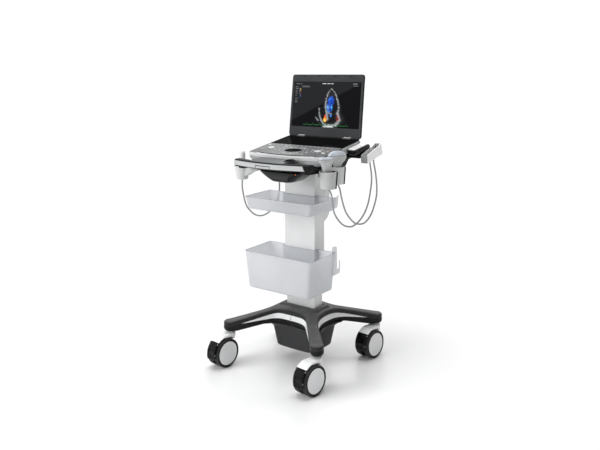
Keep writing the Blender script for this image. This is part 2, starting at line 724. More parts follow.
head = turned(fillet([(0, 98), (18, 98), (20.5, 112), (19, 122.2), (0, 122.4)], [0, 3, 5, 2, 0], 4), 32)
saddle = rings_mesh([
    lay(rrect(-22.5, 22.5, -54, 12, 15, 5), 110.0),
    lay(rrect(-23.5, 23.5, -56, 13, 16, 5), 114.0),
    lay(rrect(-21, 21, -48, 14, 15, 5), 118.5),
    lay(rrect(-17, 17, -32, 14, 13, 5), 121.6)])
HOUSING = remeshed([arc_slab(59.3, 66.2, 49.5, 131, 24.5, 2.6, 30, 2.0), head, saddle], 1.5, 9)


def caster(tag, cx, cy):
    body = "caster_" + tag
    def at(p):
        p = IDN(p)
        return np.stack([p[:, 0] * SWC - p[:, 1] * SWS + cx, p[:, 0] * SWS + p[:, 1] * SWC + cy, p[:, 2] + FLOOR], 1)

    hx = lambda p: at(IDN(p))
    node = "caster_%s_" % tag
    fen = build(node + "fender", *HOUSING, "white_gloss", body, hx, sharp=60, wn=False, slot="white_plastic", stands=[node + "housing"])

    def pick_edge(c, n):
        x, y = c[:, 0] * SWC + c[:, 1] * SWS, c[:, 1] * SWC - c[:, 0] * SWS
        low = np.hypot(y + TRAIL, c[:, 2] - R0) < 70
        return np.where((np.abs(x) > 24.15) & low & (c[:, 2] < 116), 1, 0)

    paint_faces(fen, ["white_gloss", "rim"], pick_edge, (cx, cy, FLOOR))
    # dark edge seal under the fender, web between the wheels and bosses
    web = []
    for i in range(13):
        web.append(polar(58.5, 54 + 76 * i / 12))
    for i in range(15):
        web.append(polar(41, 146 + 196 * i / 14))
    web = np.array(web)
    build(node + "web", *slab(web, -7.6, 7.6, 1.2, 1.2, 3), "black_gloss", body, then(ax("yzx"), hx), slot="black_plastic")
    build(node + "brake_block", *arc_slab(44, 58.6, -8, 30, 7.2, 2.0, 14), "black_gloss", body, hx, slot="black_plastic")
    for s, side in ((-1, "left"), (1, "right")):
        boss = turned(fillet([(0, 8), (15, 8), (15, 9.3), (0, 9.3)], 0.4, 2), 32)
        bolt = turned(fillet([(0, 0), (2.6, 0), (2.6, 1.6), (1.2, 2.0), (0, 2.0)], 0.4, 2), 20)
        fx = lambda p, s=s: at(np.stack([IDN(p)[:, 2] * s, IDN(p)[:, 0] - TRAIL, IDN(p)[:, 1] + R0], 1))
        build(node + "boss_" + side, *boss, "steel", body, fx, slot="steel")
        # wheel: tyre with two shallow tread lines, black rim, white ring and grey cover disc
        prof = [(7.2, 29), (7.2, 10.5), (40, 10.5), (44, 9.8), (50, 9.4), (53.4, 10.8), (54.8, 13.6), (55, 17.2), (54.5, 17.6), (54.5, 18.3),
                (55, 18.7), (55, 23.4), (54.5, 23.8), (54.5, 24.5), (55, 24.9), (55, 28.6), (54.6, 30.4), (53.4, 31.9), (51.4, 32.6), (49.8, 32.5),
                (49.0, 31.8), (48.5, 30.7), (45.2, 30.7), (44.8, 31.2), (44.4, 32.1), (43.7, 32.5), (41.9, 32.5), (41.3, 32.1), (40.8, 31.5), (36, 31.6), (20, 31.9), (0, 32.0)]
        prof = [(0, 29)] + prof
        wname = node + "wheel_" + side
        w = build(wname + "_tyre_and_disc", *turned(prof, 96), "tyre", wname, fx, sharp=24, slot="tyre_rubber", stands=[wname])

        def pick(c, n, s=s):
            x, y = c[:, 0] * SWC + c[:, 1] * SWS, c[:, 1] * SWC - c[:, 0] * SWS
            r = np.hypot(y + TRAIL, c[:, 2] - R0)
            outer = x * s > 30.0
            return np.where((r < 41.0) & outer, 3, np.where((r < 44.45) & outer, 2, np.where((r < 48.6), 1, 0)))

        paint_faces(w, ["tyre", "rim", "white_gloss", "hub"], pick, (cx, cy, FLOOR))
        # pivot pins of the pedal
        for k, (r, a) in enumerate(((61.8, 43), (59.6, 4))):
            y, z = polar(r, a)
            px = lambda p, s=s, y=y, z=z: at(np.stack([IDN(p)[:, 2] * s + 22.0 * s, IDN(p)[:, 0] + y, IDN(p)[:, 1] + z], 1))
            pin_body = body if k == 0 else node + "brake_pedal"
            build(node + "pin_%d_%s" % (k, side), *bolt, "steel", pin_body, px, slot="steel")
    # brake pedal: curved flap with a sunk window and grip ribs
    outer = arc_slab(58.8, 65.4, -14, 45.5, 21.8, 2.4, 32, 1.4)
    ped = build(node + "brake_pedal_flap", *outer, "black_gloss", node + "brake_pedal", hx, sharp=40, slot="black_gloss", stands=[node + "brake_pedal"])
    carve(ped, arc_slab(61.4, 72, 1, 25, 15.5, 2.0, 12), xf=hx)
    for k in range(4):
        a = -11.0 + 2.8 * k
        build(node + "brake_pedal_rib_%d" % k, *arc_slab(64.4, 66.4, a, a + 1.2, 15, 0.5, 3, 1.0, 2), "rim", node + "brake_pedal", hx, slot="black_plastic")
    # stem: collar under the leg and kingpin
    st = turned(fillet([(0, 106.4), (5.9, 106.4), (5.9, 122.8), (13, 122.8), (13, 125.9), (8.9, 125.9), (8.9, 141), (0, 141)], [0, .5, 0, .6, .6, 0, 1, 0], 2), 36)
    build(node + "stem_turned", *st, "steel", "root", hx, slot="steel", stands=[node + "stem"])


for tag, sx, sy in (("front_left", -1, -1), ("front_right", 1, -1), ("rear_left", -1, 1), ("rear_right", 1, 1)):
    caster(tag, 210.0 * sx, BASE_Y + 210.0 * sy)

# ----------------------------------------------------------------------- base
LEG_R, LEG_END = 25.5, 211.0
SIDE = LEG_R * math.sqrt(2)
ONB = shifted(0, BASE_Y, 0)


def star(n=20):
    q = [(0, -87), (22, -87.4), (42, -88.6), (62, -91.5), (78, -98), (90, -109), (105, -126), (130, -155.5), (165, -196.5)]
    for i in range(n + 1):
        a = rad(-135 + 180 * i / n)
        q.append((LEG_END + LEG_R * math.cos(a), -LEG_END + LEG_R * math.sin(a)))
    q += [(165 + SIDE, -165), (130 + SIDE, -130), (138, -100), (123, -77), (115, -56), (111.6, -34), (110.6, -12)]
    right = q + [(x, -y) for x, y in q[::-1]]
    out = right + [(-x, y) for x, y in right[::-1]]
    clean = []
    for p in out:
        if not clean or math.hypot(p[0] - clean[-1][0], p[1] - clean[-1][1]) > 0.5:
            clean.append(p)
    return ccw(smooth_poly(clean, 2))


STAR = star()


def ramp(a, b, r0, r1):
    return lambda x, y: a + (b - a) * np.clip((np.hypot(x, y) - r0) / (r1 - r0), 0, 1)


cover_top = ramp(228.5, 180.8, 80, 300)
band_z = ramp(196.5, 163.0, 105, 300)
band_h = ramp(9.5, 0.0, 112, 262)
frame_under = ramp(158.2, 139.3, 165, 272)


def diced(polys, zf, cell):
    """Stack of equal-count outlines; layer k sits at zf(k, x, y). The solid is diced in plan so that it can follow zf."""
    verts, faces = rings_mesh([lay(p, float(k)) for k, p in enumerate(polys)])
    bm = bmesh.new()
    vs = [bm.verts.new(v) for v in verts]
    for f in faces:
        bm.faces.new([vs[i] for i in f])
    lo, hi = verts[:, :2].min(0), verts[:, :2].max(0)
    for axis in (0, 1):
        nrm = [0, 0, 0]
        nrm[axis] = 1
        t = lo[axis] + cell * 0.5 + 0.137
        while t < hi[axis]:
            co = [0, 0, 0]
            co[axis] = t
            bmesh.ops.bisect_plane(bm, geom=bm.verts[:] + bm.edges[:] + bm.faces[:], plane_co=co, plane_no=nrm, dist=1e-4)
            t += cell
    bmesh.ops.triangulate(bm, faces=[f for f in bm.faces if len(f.verts) > 4])
    bm.verts.index_update()
    v = np.array([x.co[:] for x in bm.verts])
    f = [tuple(x.index for x in q.verts) for q in bm.faces]
    bm.free()
    x, y, k = v[:, 0], v[:, 1], v[:, 2]
    levels = np.stack([zf(i, x, y) for i in range(len(polys))])
    k0 = np.clip(np.floor(k).astype(int), 0, len(polys) - 2)
    t = k - k0
    i = np.arange(len(v))
    v[:, 2] = levels[k0, i] * (1 - t) + levels[k0 + 1, i] * t
    return v, f


# upper cover: wall, rounded shoulder, top that falls along the legs
RS, RV = 11.0, 8.0
offs = [0, 0, 0.6, 2.0, 4.2, 7.3, 11.0]


def cover_z(k, x, y):
    if k == 0:
        return band_z(x, y) + band_h(x, y) + 0.25
    d = offs[k]
    drop = RV * (1 - math.sqrt(max(0.0, 1 - ((RS - d) / RS) ** 2)))
    return cover_top(x, y) - drop


cover = build("base_cover_shell", *diced([offset(STAR, d) for d in offs], cover_z, 14.0), "cover", "root", ONB, sharp=40, slot="dark_plastic", stands=["base_cover"])
# raised collar round the column, with a shadow gap
well = rrect(-69.2, 69.2, -36.2, 19.2, 7, 4)
carve(cover, slab(well, 150, 260, 0.1, 0.1, 1))
col_out = rrect(-90, 90, -58, 40, 14, 6)


def collar():
    rings = [lay(offset(col_out, -8), 222), lay(offset(col_out, -3), 227.6), lay(offset(col_out, 1), 230.6), lay(offset(col_out, 4), 232.2), lay(offset(col_out, 7), 233.0)]
    w0 = rrect(-76, 76, -43, 26, 6, 6)
    w1 = rrect(-73, 73, -40, 23, 5, 6)
    w2 = rrect(-70.3, 70.3, -37.3, 20.3, 4, 6)
    rings += [lay(w0, 232.8), lay(w1, 229.5), lay(w2, 223.0), lay(w2, 216.0), lay(offset(col_out, -4), 216.0)]
    return rings_mesh(rings, wrap=True)


build("base_cover_collar", *collar(), "cover", "root", sharp=36, slot="dark_plastic")


def band_zf(k, x, y):
    z, h = band_z(x, y), band_h(x, y)
    h = np.maximum(h, 0.12)
    return [z - h, z - h + np.minimum(1.0, h * 0.3), z - h + np.minimum(2.2, h * 0.6), z + h][k]


# pale band: leans out towards its lower edge, more in the hollows than on the legs
hollow = 1.0 - np.clip((np.hypot(STAR[:, 0], STAR[:, 1]) - 110) / 140, 0, 1)
far = np.clip((np.hypot(STAR[:, 0], STAR[:, 1]) - 235) / 25, 0, 1)
nrm = STAR - offset(STAR, 1.0)
lean = lambda d: STAR + nrm * (d * hollow - 2.0 * far)[:, None]
build("base_band_shell", *diced([lean(4.2), lean(5.4), lean(5.2), lean(-0.6)], band_zf, 30.0), "band", "root", ONB, sharp=40, slot="silver_paint", stands=["base_band"])
bumper = np.clip((np.hypot(STAR[:, 0], STAR[:, 1]) - 262) / 30, 0, 1)
fo = lambda d, out=0.0: STAR - nrm * d + nrm * (bumper * out)[:, None]
f_off = [(15, 0), (10.5, 0), (6.2, 0), (3.0, .6), (1.2, 1.0), (0.6, 1.2), (0.8, 0.2)]
f_up = [0, 0.5, 2.6, 6.2, 11.0, 18.0, None]


def frame_z(k, x, y):
    top = band_z(x, y) - band_h(x, y) - 0.25
    low = frame_under(x, y)
    if f_up[k] is None:
        return top
    return low + np.minimum(f_up[k], (top - low) * f_up[k] / 20.0)


build("base_frame_shell", *diced([fo(a, b) for a, b in f_off], frame_z, 24.0), "frame", "root", ONB, sharp=40, slot="dark_plastic", stands=["base_frame"])

# power housing: deep tub under the middle, bowed faces, soft edges
def bowed_box(hx, hy, r, bow):
    p = rrect(-hx, hx, -hy, hy, r, 8)
    out = []
    for i in range(len(p)):
        a, b = p[i], p[(i + 1) % len(p)]
        n = 10 if np.linalg.norm(b - a) > 40 else 1
        out += [a + (b - a) * k / n for k in range(n)]
    out = np.array(out)
    out[:, 1] += bow * np.sign(out[:, 1]) * np.clip(1 - (out[:, 0] / hx) ** 2, 0, 1) * (np.abs(out[:, 1]) > hy * 0.6)
    out[:, 0] += bow * 0.6 * np.sign(out[:, 0]) * np.clip(1 - (out[:, 1] / hy) ** 2, 0, 1) * (np.abs(out[:, 0]) > hx * 0.7)
    return out


tub_rings = []
for i in range(6):
    a = rad(90 * i / 5)
    e = 9 * (1 - math.sin(a))
    tub_rings.append(lay(bowed_box(92 - e, 73 - e, 24, 5), 69 + 8 * (1 - math.cos(a))))
for t in (0.3, 0.6):
    tub_rings.append(lay(bowed_box(92 + 20 * t, 73 + 13 * t, 25, 5 - 4 * t), 77 + 98 * t))
for z, hx_, hy_, f in ((143, 105.5, 82, 0.0), (149, 106.6, 83, 0.02), (154, 108, 84, 0.06), (158, 109, 85, 0.12), (161, 109.5, 85.5, 0.2), (164, 109.5, 85.5, 0.2)):
    q = bowed_box(hx_, hy_, 25, 1.0)
    w = (np.abs(q[:, 0]) / hx_) ** 2 * (np.abs(q[:, 1]) / hy_) ** 2
    tub_rings.append(lay(q * (1 + f * np.clip(w * 1.6, 0, 1))[:, None], z))
build("power_housing_tub", *rings_mesh(tub_rings), "box", "root", ONB, sharp=40, slot="dark_plastic", stands=["base_power_housing"])

# --------------------------------------------------------------------- column
build("column_inner_tube", *slab(rrect(-69.5, 69.5, -36, 18.6, 3.5, 5), 191, 699, 0.5, 1, 2), "column_in", "root", slot="white_plastic", stands=["column_inner"])
build("column_outer_tube", *slab(rrect(-75.5, 75.5, -43, 25, 3.5, 6), 330, 786, 1.2, 1, 3), "column", "carriage", slot="white_plastic", stands=["column_outer"])
build("column_glide_lip", *slab(rrect(-72.5, 72.5, -40.5, 22.5, 8, 6), 327.8, 334, 0.8, 0.5, 2), "black", "carriage", slot="black_plastic", stands=["column_glide_ring"])
rear = spline([(25.6, 567), (30, 568.2), (41, 573), (52, 580), (60, 590), (64.2, 603), (65, 622), (65, 660)], 6)
rear = np.vstack([rear, [(65, 785.5), (25.6, 785.5)]])
build("rear_cover_shell", *slab(rear, -75, 75, 5, 5, 5), "column", "carriage", ax("yzx"), slot="white_plastic", stands=["rear_service_cover"])
build("column_front_seam", *slab(rrect(-60, 60, 577.8, 578.6, 0.3, 2), 42.6, 43.3, 0.1, 0.1, 1), "column_in", "carriage",
      then(ax("xzy"), lambda p: IDN(p) * np.array([1, -1, 1])), slot="white_plastic")
for k in range(7):
    z = 690 + 9.0 * k
    build("rear_cover_vent_%d" % k, *slab(rrect(-38, 38, z, z + 3.2, 1.5, 4), 64.6, 65.4, 0.2, 0.3, 1), "black", "carriage", ax("xzy"), slot="black_plastic")
for k, (x, z) in enumerate(((-62, 612), (62, 612), (-62, 772), (62, 772))):
    build("rear_cover_screw_%d" % k, *turned(fillet([(0, 64.8), (3.4, 64.8), (3.4, 65.9), (2.4, 66.3), (1.4, 66.3), (1.2, 65.6), (0, 65.6)], 0.2, 2), 20), "steel", "carriage",
          lambda p, x=x, z=z: np.stack([IDN(p)[:, 0] + x, IDN(p)[:, 2], IDN(p)[:, 1] + z], 1), slot="steel")
build("gas_spring_tube", *turned(fillet([(5.6, 191), (5.6, 500), (14, 500), (14, 190.4), (5.6, 190.4), (5.6, 191)], 0), 28), "steel", "root", shifted(0, -8.5, 0), slot="steel", stands=["gas_spring_cylinder"])
build("gas_spring_piston_rod", *turned(fillet([(0, 290), (5, 290), (5, 786.5), (0, 786.5)], 0.4, 2), 20), "steel", "carriage", shifted(0, -8.5, 0), slot="steel", stands=["gas_spring_rod"])

# ----------------------------------------------------------------------- bins


def corner_poly(pts, n=5):
    """Closed outline from (x, y, radius) corners, the same number of points for every corner."""
    out = []
    m = len(pts)
    for i in range(m):
        a, b, c = (np.array(pts[(i + d) % m][:2], float) for d in (-1, 0, 1))
        r = pts[i][2]
        u, v = (a - b) / np.linalg.norm(a - b), (c - b) / np.linalg.norm(c - b)
        d = r * 1.0
        for k in range(n + 1):
            t = k / n
            out.append((b + u * d) * (1 - t) ** 2 + 2 * b * t * (1 - t) + (b + v * d) * t * t)
    return np.array(out)


def bin_outline(hx, yf, yb, nx, ny, rc):
    return corner_poly([(hx, yb, 10), (nx, yb, 2.5), (nx, ny, 3), (-nx, ny, 3), (-nx, yb, 2.5), (-hx, yb, 10), (-hx, yf, rc), (hx, yf, rc)], 7)


def bin_mesh(z0, z1, x0, x1, f0, f1, back, rise, wall=3.2, rc=30, rb=11):
    def o(z, d):
        t = (z - z0) / (z1 - z0)
        p = bin_outline(x0 + (x1 - x0) * t, f0 + (f1 - f0) * t, back, 79.0, -48.0, rc)
        return offset(p, d)

    def lift(p, z):
        t = max(0.0, (z - z0) / (z1 - z0)) ** 2
        return lay(p, z + t * rise * np.clip((p[:, 1] - f1) / (back - f1), 0, 1) ** 1.3)

    rings = []
    for i in range(7):
        a = rad(90 * i / 6)
        z = z0 + rb * (1 - math.cos(a))
        rings.append(lift(o(z, rb * (1 - math.sin(a))), z))
    for t in (0.3, 0.6, 0.9):
        z = z0 + rb + (z1 - 5 - z0 - rb) * t
        rings.append(lift(o(z, 0), z))
    for z, d in ((z1 - 4.2, 0.0), (z1 - 3.4, -1.3), (z1 - 1.6, -1.9), (z1 - 0.4, -1.2), (z1, 0.6), (z1, wall - 0.8), (z1 - 0.6, wall)):
        rings.append(lift(o(z, d), z))
    for t in (0.1, 0.5, 0.9):
        z = z1 - 4 - (z1 - 4 - z0 - rb) * t
        rings.append(lift(o(z, wall), z))
    for i in range(6):
        a = rad(90 - 90 * i / 5)
        z = z0 + 3.4 + (rb - 3) * (1 - math.cos(a))
        rings.append(lift(o(z, wall + (rb - 3) * (1 - math.sin(a))), z))
    return rings_mesh(rings)


lb = build("lower_bin_shell", *bin_mesh(315, 461, 147, 163, -187, -194, -25, 5, rc=17), "frost", "carriage", sharp=50, wn=False, slot="frosted_plastic", stands=["lower_bin"])
ut = build("upper_tray_shell", *bin_mesh(626, 675, 153, 166, -186, -191, -25, 4, wall=2.8, rc=17, rb=9), "frost_tray", "carriage", sharp=50, wn=False, slot="frosted_plastic", stands=["upper_tray"])
paint_faces(lb, ["frost", "frost_edge"], lambda c, n: np.where((n[:, 2] > 0.75) & (c[:, 2] > 459.5), 1, 0))
paint_faces(ut, ["frost_tray", "frost_edge"], lambda c, n: np.where((n[:, 2] > 0.75) & (c[:, 2] > 673.5), 1, 0))
hook = [(-43, 484), (-43, 378), (-38, 375), (6, 377), (12.5, 383), (13.2, 425), (11, 428), (9, 425), (8, 398), (4, 394.5), (-5, 392), (-9, 395), (-9, 478), (-14, 487), (-36, 488)]
build("lower_bin_hook", *slab(smooth_poly(hook, 2), 154.6, 158.6, 1.0, 1.0, 3), "frost", "carriage", ax("yzx"), sharp=45, slot="frosted_plastic")
hook2 = [(-43, 680), (-43, 637), (-16, 637), (-8.5, 644), (-4.5, 672), (-1.5, 682), (-4, 686.5), (-9, 683), (-14, 680)]
build("upper_tray_hook", *slab(smooth_poly(hook2, 2), 158.1, 161.6, 0.9, 0.9, 3), "frost_tray", "carriage", ax("yzx"), sharp=45, slot="frosted_plastic")

#PART2
# ------------------------------------------------------------- dock and handle
M["grip"] = plastic("handle_grip_plastic", (0.075, 0.078, 0.08), 0.33, 0.10, 0.7, 0.05, 0.25)
M["fascia"] = paint_metal("handle_fascia_paint", (0.60, 0.615, 0.62), 0.3, 0.55)
LEANT = math.tan(rad(9.8))


def deck_z(y):
    return 895.6 - 40 * math.cos(rad(9.8)) + (y - 125.7 - 40 * math.sin(rad(9.8))) * LEANT - 1.2


plate = [(-150, 787.2), (65, 787.2), (105, 829), (105, deck_z(105)), (-150, deck_z(-150))]
build("dock_plate_casting", *slab(corner_poly([(a, b, 4) for a, b in plate], 4), -150, 150, 5, 5, 4), "black", "carriage", ax("yzx"), slot="black_plastic", stands=["dock_plate"])
for k, (x, y) in enumerate(((-120, 50), (120, 50), (-130, -40), (130, -40))):
    build("dock_plate_screw_%d" % k, *turned(fillet([(0, 785.9), (2.6, 785.9), (4.2, 786.3), (4.2, 788), (0, 788)], 0.2, 2), 20), "steel", "carriage", shifted(x, y, 0), slot="steel")


def bowl_rings():
    out = []
    for z, kx, ky in ((744.2, 0.12, 0.2), (744.0, 0.30, 0.42), (745.0, 0.42, 0.56), (747.5, 0.505, 0.63), (752, 0.59, 0.69), (758, 0.68, 0.76), (765, 0.78, 0.83), (772, 0.87, 0.90), (778, 0.94, 0.95), (783, 0.985, 0.985), (786.4, 1.0, 1.0)):
        p = rrect(-88, 112, -214, -66, 44, 9)
        out.append(lay(np.column_stack([12 + (p[:, 0] - 12) * kx, -140 + (p[:, 1] + 140) * ky]), z))
    return out


build("dock_lower_bowl", *rings_mesh(bowl_rings()), "black_gloss", "carriage", sharp=45, slot="black_gloss", stands=["dock_lower_housing"])
# status light in the bowl's right front corner
led = turned(fillet([(0, 0), (2.1, 0), (2.1, 0.7), (1.4, 1.1), (0, 1.3)], [0, 0, .4, .4, 0], 3), 24)


def on_bowl(p):
    p = IDN(p)
    c = math.cos(rad(-45))
    s = math.sin(rad(-45))
    n = np.array([c, s, 0])
    u = np.array([-s, c, 0])
    return np.array([96.6, -200.2, 782.6]) + p[:, [2]] * n + p[:, [0]] * u + p[:, [1]] * np.array([0, 0, 1.0])


def led_mat():
    m, t, b, co = begin("status_light")
    k = noise(co.outputs["Object"], 500.0, 2.0, 0.5)
    put(t, b, "Base Color", mixc(k, (0.55, 0.10, 0.02), (0.7, 0.16, 0.03)))
    put(t, b, "Emission Color", (0.75, 0.10, 0.015))
    put(t, b, "Emission Strength", 0.7)
    put(t, b, "Roughness", clamp01(0.25 + (k - 0.5) * 0.1))
    return m


M["led"] = led_mat()
build("dock_status_light", *led, "led", "carriage", on_bowl, slot="black_gloss")


def grip_y(x):
    return -231 - 33 * (1 - (x / 183.0) ** 2)


def strip(y0, y1, z0, z1, xa, xb, r, n=40, ends=4.0, seg=5):
    """Bar that follows the handle's bow: rounded section, ends drawn in to a soft tip."""
    sec = rrect(y0, y1, z0, z1, r, seg)
    my, mz = (y0 + y1) / 2, (z0 + z1) / 2
    xs, ks = [], []
    for i in range(7):
        a = rad(90 * i / 6)
        xs.append(xa + ends * (1 - math.cos(a)))
        ks.append(1 - min(ends, (z1 - z0) * 0.45, (y1 - y0) * 0.45) / min(z1 - z0, y1 - y0) * 1.6 * (1 - math.sin(a)))
    mid = np.linspace(xa + ends, xb - ends, n)[1:-1]
    xs2 = xs + list(mid) + [xa + xb - v for v in xs[::-1]]
    ks2 = ks + [1.0] * len(mid) + ks[::-1]
    rings = []
    for x, k in zip(xs2, ks2):
        rings.append(np.column_stack([np.full(len(sec), x), grip_y(x) + my + (sec[:, 0] - my) * k, mz + (sec[:, 1] - mz) * k]))
    return rings_mesh(rings)


grip = build("handle_grip_bar", *strip(-0.8, 38, 801.2, 827.2, -185, 185, 8.5, 44, 8.0), "black", "carriage", sharp=50, slot="black_plastic", stands=["handle_grip"])
PADDLE = (-44.0, 26.0)
carve(grip, strip(-3, 6, 790, 816, PADDLE[0] - 1, PADDLE[1] + 1, 0.5, 12, 0.5, 1))
fascia = build("handle_fascia_strip", *strip(-4.6, 0.6, 804.8, 822.6, -178.5, 176, 2.2, 44, 5.0, 4), "fascia", "carriage", sharp=50, slot="silver_paint", stands=["handle_fascia"])
carve(fascia, slab(corner_poly([(155, 835, .1), (200, 835, .1), (200, 790, .1), (172, 790, .1)], 1), 180, 320, .01, .01, 1), xf=lambda p: np.stack([IDN(p)[:, 0], -IDN(p)[:, 2], IDN(p)[:, 1]], 1))
carve(fascia, strip(-8, 5, 790, 815.6, PADDLE[0] - 0.6, PADDLE[1] + 0.6, 0.4, 12, 0.3, 1))
build("height_release_lever", *strip(-5.0, 1.2, 804.8, 813.2, PADDLE[0] + 1.8, PADDLE[1] - 1.8, 1.8, 14, 1.6, 4), "fascia", "height_release_paddle", sharp=50, slot="silver_paint", stands=["height_release_paddle"])
for k in range(5):
    x = -21.0 + 6 * k
    build("height_release_rib_%d" % k, *strip(-5.2, -4.0, 806, 811.4, x - 1.0, x + 1.0, 0.5, 4, 0.4, 2), "fascia", "height_release_paddle", sharp=50, slot="silver_paint")
for s in (-1, 1):
    arm = corner_poly([(-218, 789, 5), (-150.3, 787.5, 2), (-150.3, 806.5, 2), (-216, 808, 4)], 5)
    side = "left" if s < 0 else "right"
    build("handle_arm_" + side, *slab(arm, 146 if s > 0 else -172, 172 if s > 0 else -146, 4, 4, 4), "black", "carriage", ax("yzx"), slot="black_plastic")
    end = [(s * 168, -236), (s * 150, -241), (s * 146, -216), (s * 150, -206), (s * 172, -206), (s * 183, -218), (s * 185, -228)]
    build("handle_end_" + side, *slab(smooth_poly(end, 2), 799, 822, 4, 5, 4), "black", "carriage", slot="black_plastic")
# deck between the grip and the scanner, with the black latch on it
deck = [(x, grip_y(x) + 6) for x in np.linspace(-93, 75, 15)] + [(75, -170), (-93, -170)]
build("handle_deck", *slab(np.array(deck), 800, 827.4, 1.5, 1.8, 3), "deck_top", "carriage", lambda p: np.stack([IDN(p)[:, 0], IDN(p)[:, 1], IDN(p)[:, 2] + 7.0 * np.clip((IDN(p)[:, 1] + 258) / 88, 0, 1) * (IDN(p)[:, 2] > 812)], 1), sharp=40, slot="black_plastic")
build("handle_deck_riser", *slab(corner_poly([(-95, -226, 4), (95, -226, 4), (95, -150, 4), (-95, -150, 4)], 3), 794.8, 802.6, 1.5, 1.5, 3), "black", "carriage", slot="black_plastic")
latch = [lay(corner_poly([(46, -224, 3), (97, -200, 3), (97, -182, 3), (46, -182, 3)], 4), 827), lay(corner_poly([(54, -217, 3), (88, -198, 3), (88, -182, 3), (54, -182, 3)], 4), 832.5), lay(corner_poly([(64, -210, 3), (78, -200, 3), (78, -182, 3), (64, -182, 3)], 4), 839)]
build("handle_latch", *rings_mesh(latch), "black", "carriage", slot="black_plastic")

# ---------------------------------------------------------- holders and probes
CUP_L, CUP_R1, CUP_R2 = (-219, -140), (205, -142), (201, -74)


def cup_profile(z0, z1, r0, r1, w=3.0):
    prof = [(9, z0 + 1.5), (9, z0), (r0, z0), (r1, z1), (r1 - w, z1), (r0 - w, z0 + w), (9, z0 + w), (9, z0 + 1.5)]
    return fillet(prof, [0, .8, 5, 1.3, 1.3, 3, .8, 0], 5)


def block(x0, x1, y0, y1, z0, z1):
    return rings_mesh([lay(np.array([(x0, y0), (x1, y0), (x1, y1), (x0, y1)], float), z) for z in (z0, z1)])


cup_l = build("left_cup_shell", *turned(cup_profile(732, 787, 23, 35), 64), "cup_b", "carriage", shifted(*CUP_L, 0), sharp=50, slot="white_plastic", stands=["left_probe_cup"])
horn = corner_poly([(-212, 742, 6), (-186, 750, 8), (-158, 767, 8), (-130, 775, 2), (-130, 786.8, 2), (-212, 786.8, 4)], 5)
arm_l = build("left_cup_arm", *slab(horn, -14, 14, 1.8, 1.8, 3), "cup_a", "carriage", then(lambda p: np.stack([IDN(p)[:, 0], -IDN(p)[:, 2], IDN(p)[:, 1]], 1), shifted(0, CUP_L[1], 0)), slot="white_plastic")
carve(arm_l, turned([(0, 728), (22.5, 728), (34.0, 790), (0, 790)], 48), xf=shifted(*CUP_L, 0))
build("left_cup_liner", *turned(fillet([(8.2, 735.4), (19.4, 735.4), (31.0, 785.5), (29.8, 785.5), (18.4, 736.6), (8.2, 736.6), (8.2, 735.4)], 0), 48), "deck", "carriage", shifted(*CUP_L, 0), sharp=50, slot="charcoal_plastic")
for tag, c, z0, z1, r0, r1 in (("front", CUP_R1, 733, 798, 29, 34), ("rear", CUP_R2, 742, 809, 26, 30.5)):
    shell = build("right_cup_%s_shell" % tag, *turned(cup_profile(z0, z1, r0, r1), 64), "cup_a" if tag == "front" else "cup_b", "carriage", shifted(*c, 0), sharp=50, slot="white_plastic", stands=["right_probe_cup_" + tag])
    turn = lambda p, c=c: np.stack([IDN(p)[:, 0] * math.cos(rad(36)) - IDN(p)[:, 1] * math.sin(rad(36)) + c[0],
                                    IDN(p)[:, 0] * math.sin(rad(36)) + IDN(p)[:, 1] * math.cos(rad(36)) + c[1], IDN(p)[:, 2]], 1)
    carve(shell, block(10, 45, -9.4, 9.4, z0 - 5, z1 + 5), xf=turn)
    liner = build("right_cup_%s_liner" % tag, *turned([(8.5, z0 + 3.3), (r0 - 4, z0 + 3.3), (r1 - 3.2, z1 - 1.5), (r1 - 4.6, z1 - 1.5), (r0 - 5.4, z0 + 4.6), (8.5, z0 + 4.6), (8.5, z0 + 3.3)], 48), "black", "carriage", shifted(*c, 0), sharp=50, slot="black_plastic")
    carve(liner, block(6, 45, -3.6, 3.6, z0 - 5, z1 + 5), xf=turn)
    # black edging of the cable slot
    for e in (-1, 1):
        edge = corner_poly([(r0 - 4.5, z0 + 1, 1.5), (r0 + 3.0, z0 + 1, 2.5), (r1 + 3.2, z1 - 1, 2.5), (r1 - 4.5, z1 - 1, 1.5)], 4)
        build("right_cup_%s_slot_edge_%s" % (tag, "a" if e < 0 else "b"), *slab(edge, 3.9 if e > 0 else -9.6, 9.6 if e > 0 else -3.9, 1, 1, 3), "black", "carriage",
              then(ax("xzy"), turn), slot="black_plastic")
    # arm from the rail out to the cup
    y, rr = c[1], r0 + (r1 - r0) * (z1 - 14 - z0) / (z1 - z0) - 1.5
    end = math.degrees(math.asin(9 / rr))
    arm = [(168, y + 9), (168, y - 9)] + [(c[0] + rr * math.cos(rad(a)), y + rr * math.sin(rad(a))) for a in np.linspace(180 + end, 180 - end, 9)]
    build("right_cup_%s_arm" % tag, *slab(np.array(arm), z1 - 24, z1 - 4, 0.8, 0.8, 3), "black", "carriage", slot="black_plastic")

pl = fillet([(0, 738), (6, 738), (12.6, 765), (12.6, 840), (9, 846), (0, 846.5)], [0, 2, 14, 5, 3, 0], 6)
build("probe_left_body", *turned(pl, 40), "white", "probe_left", shifted(*CUP_L, 0), sharp=50, slot="white_plastic", stands=["probe_left"])
build("probe_left_grip_ring", *turned(fillet([(12.4, 800), (13.0, 800.4), (13.0, 803), (12.4, 803.4), (12.4, 800)], 0), 40), "deck", "probe_left", shifted(*CUP_L, 0), slot="charcoal_plastic")
TC, TS = math.cos(rad(66)), math.sin(rad(66))


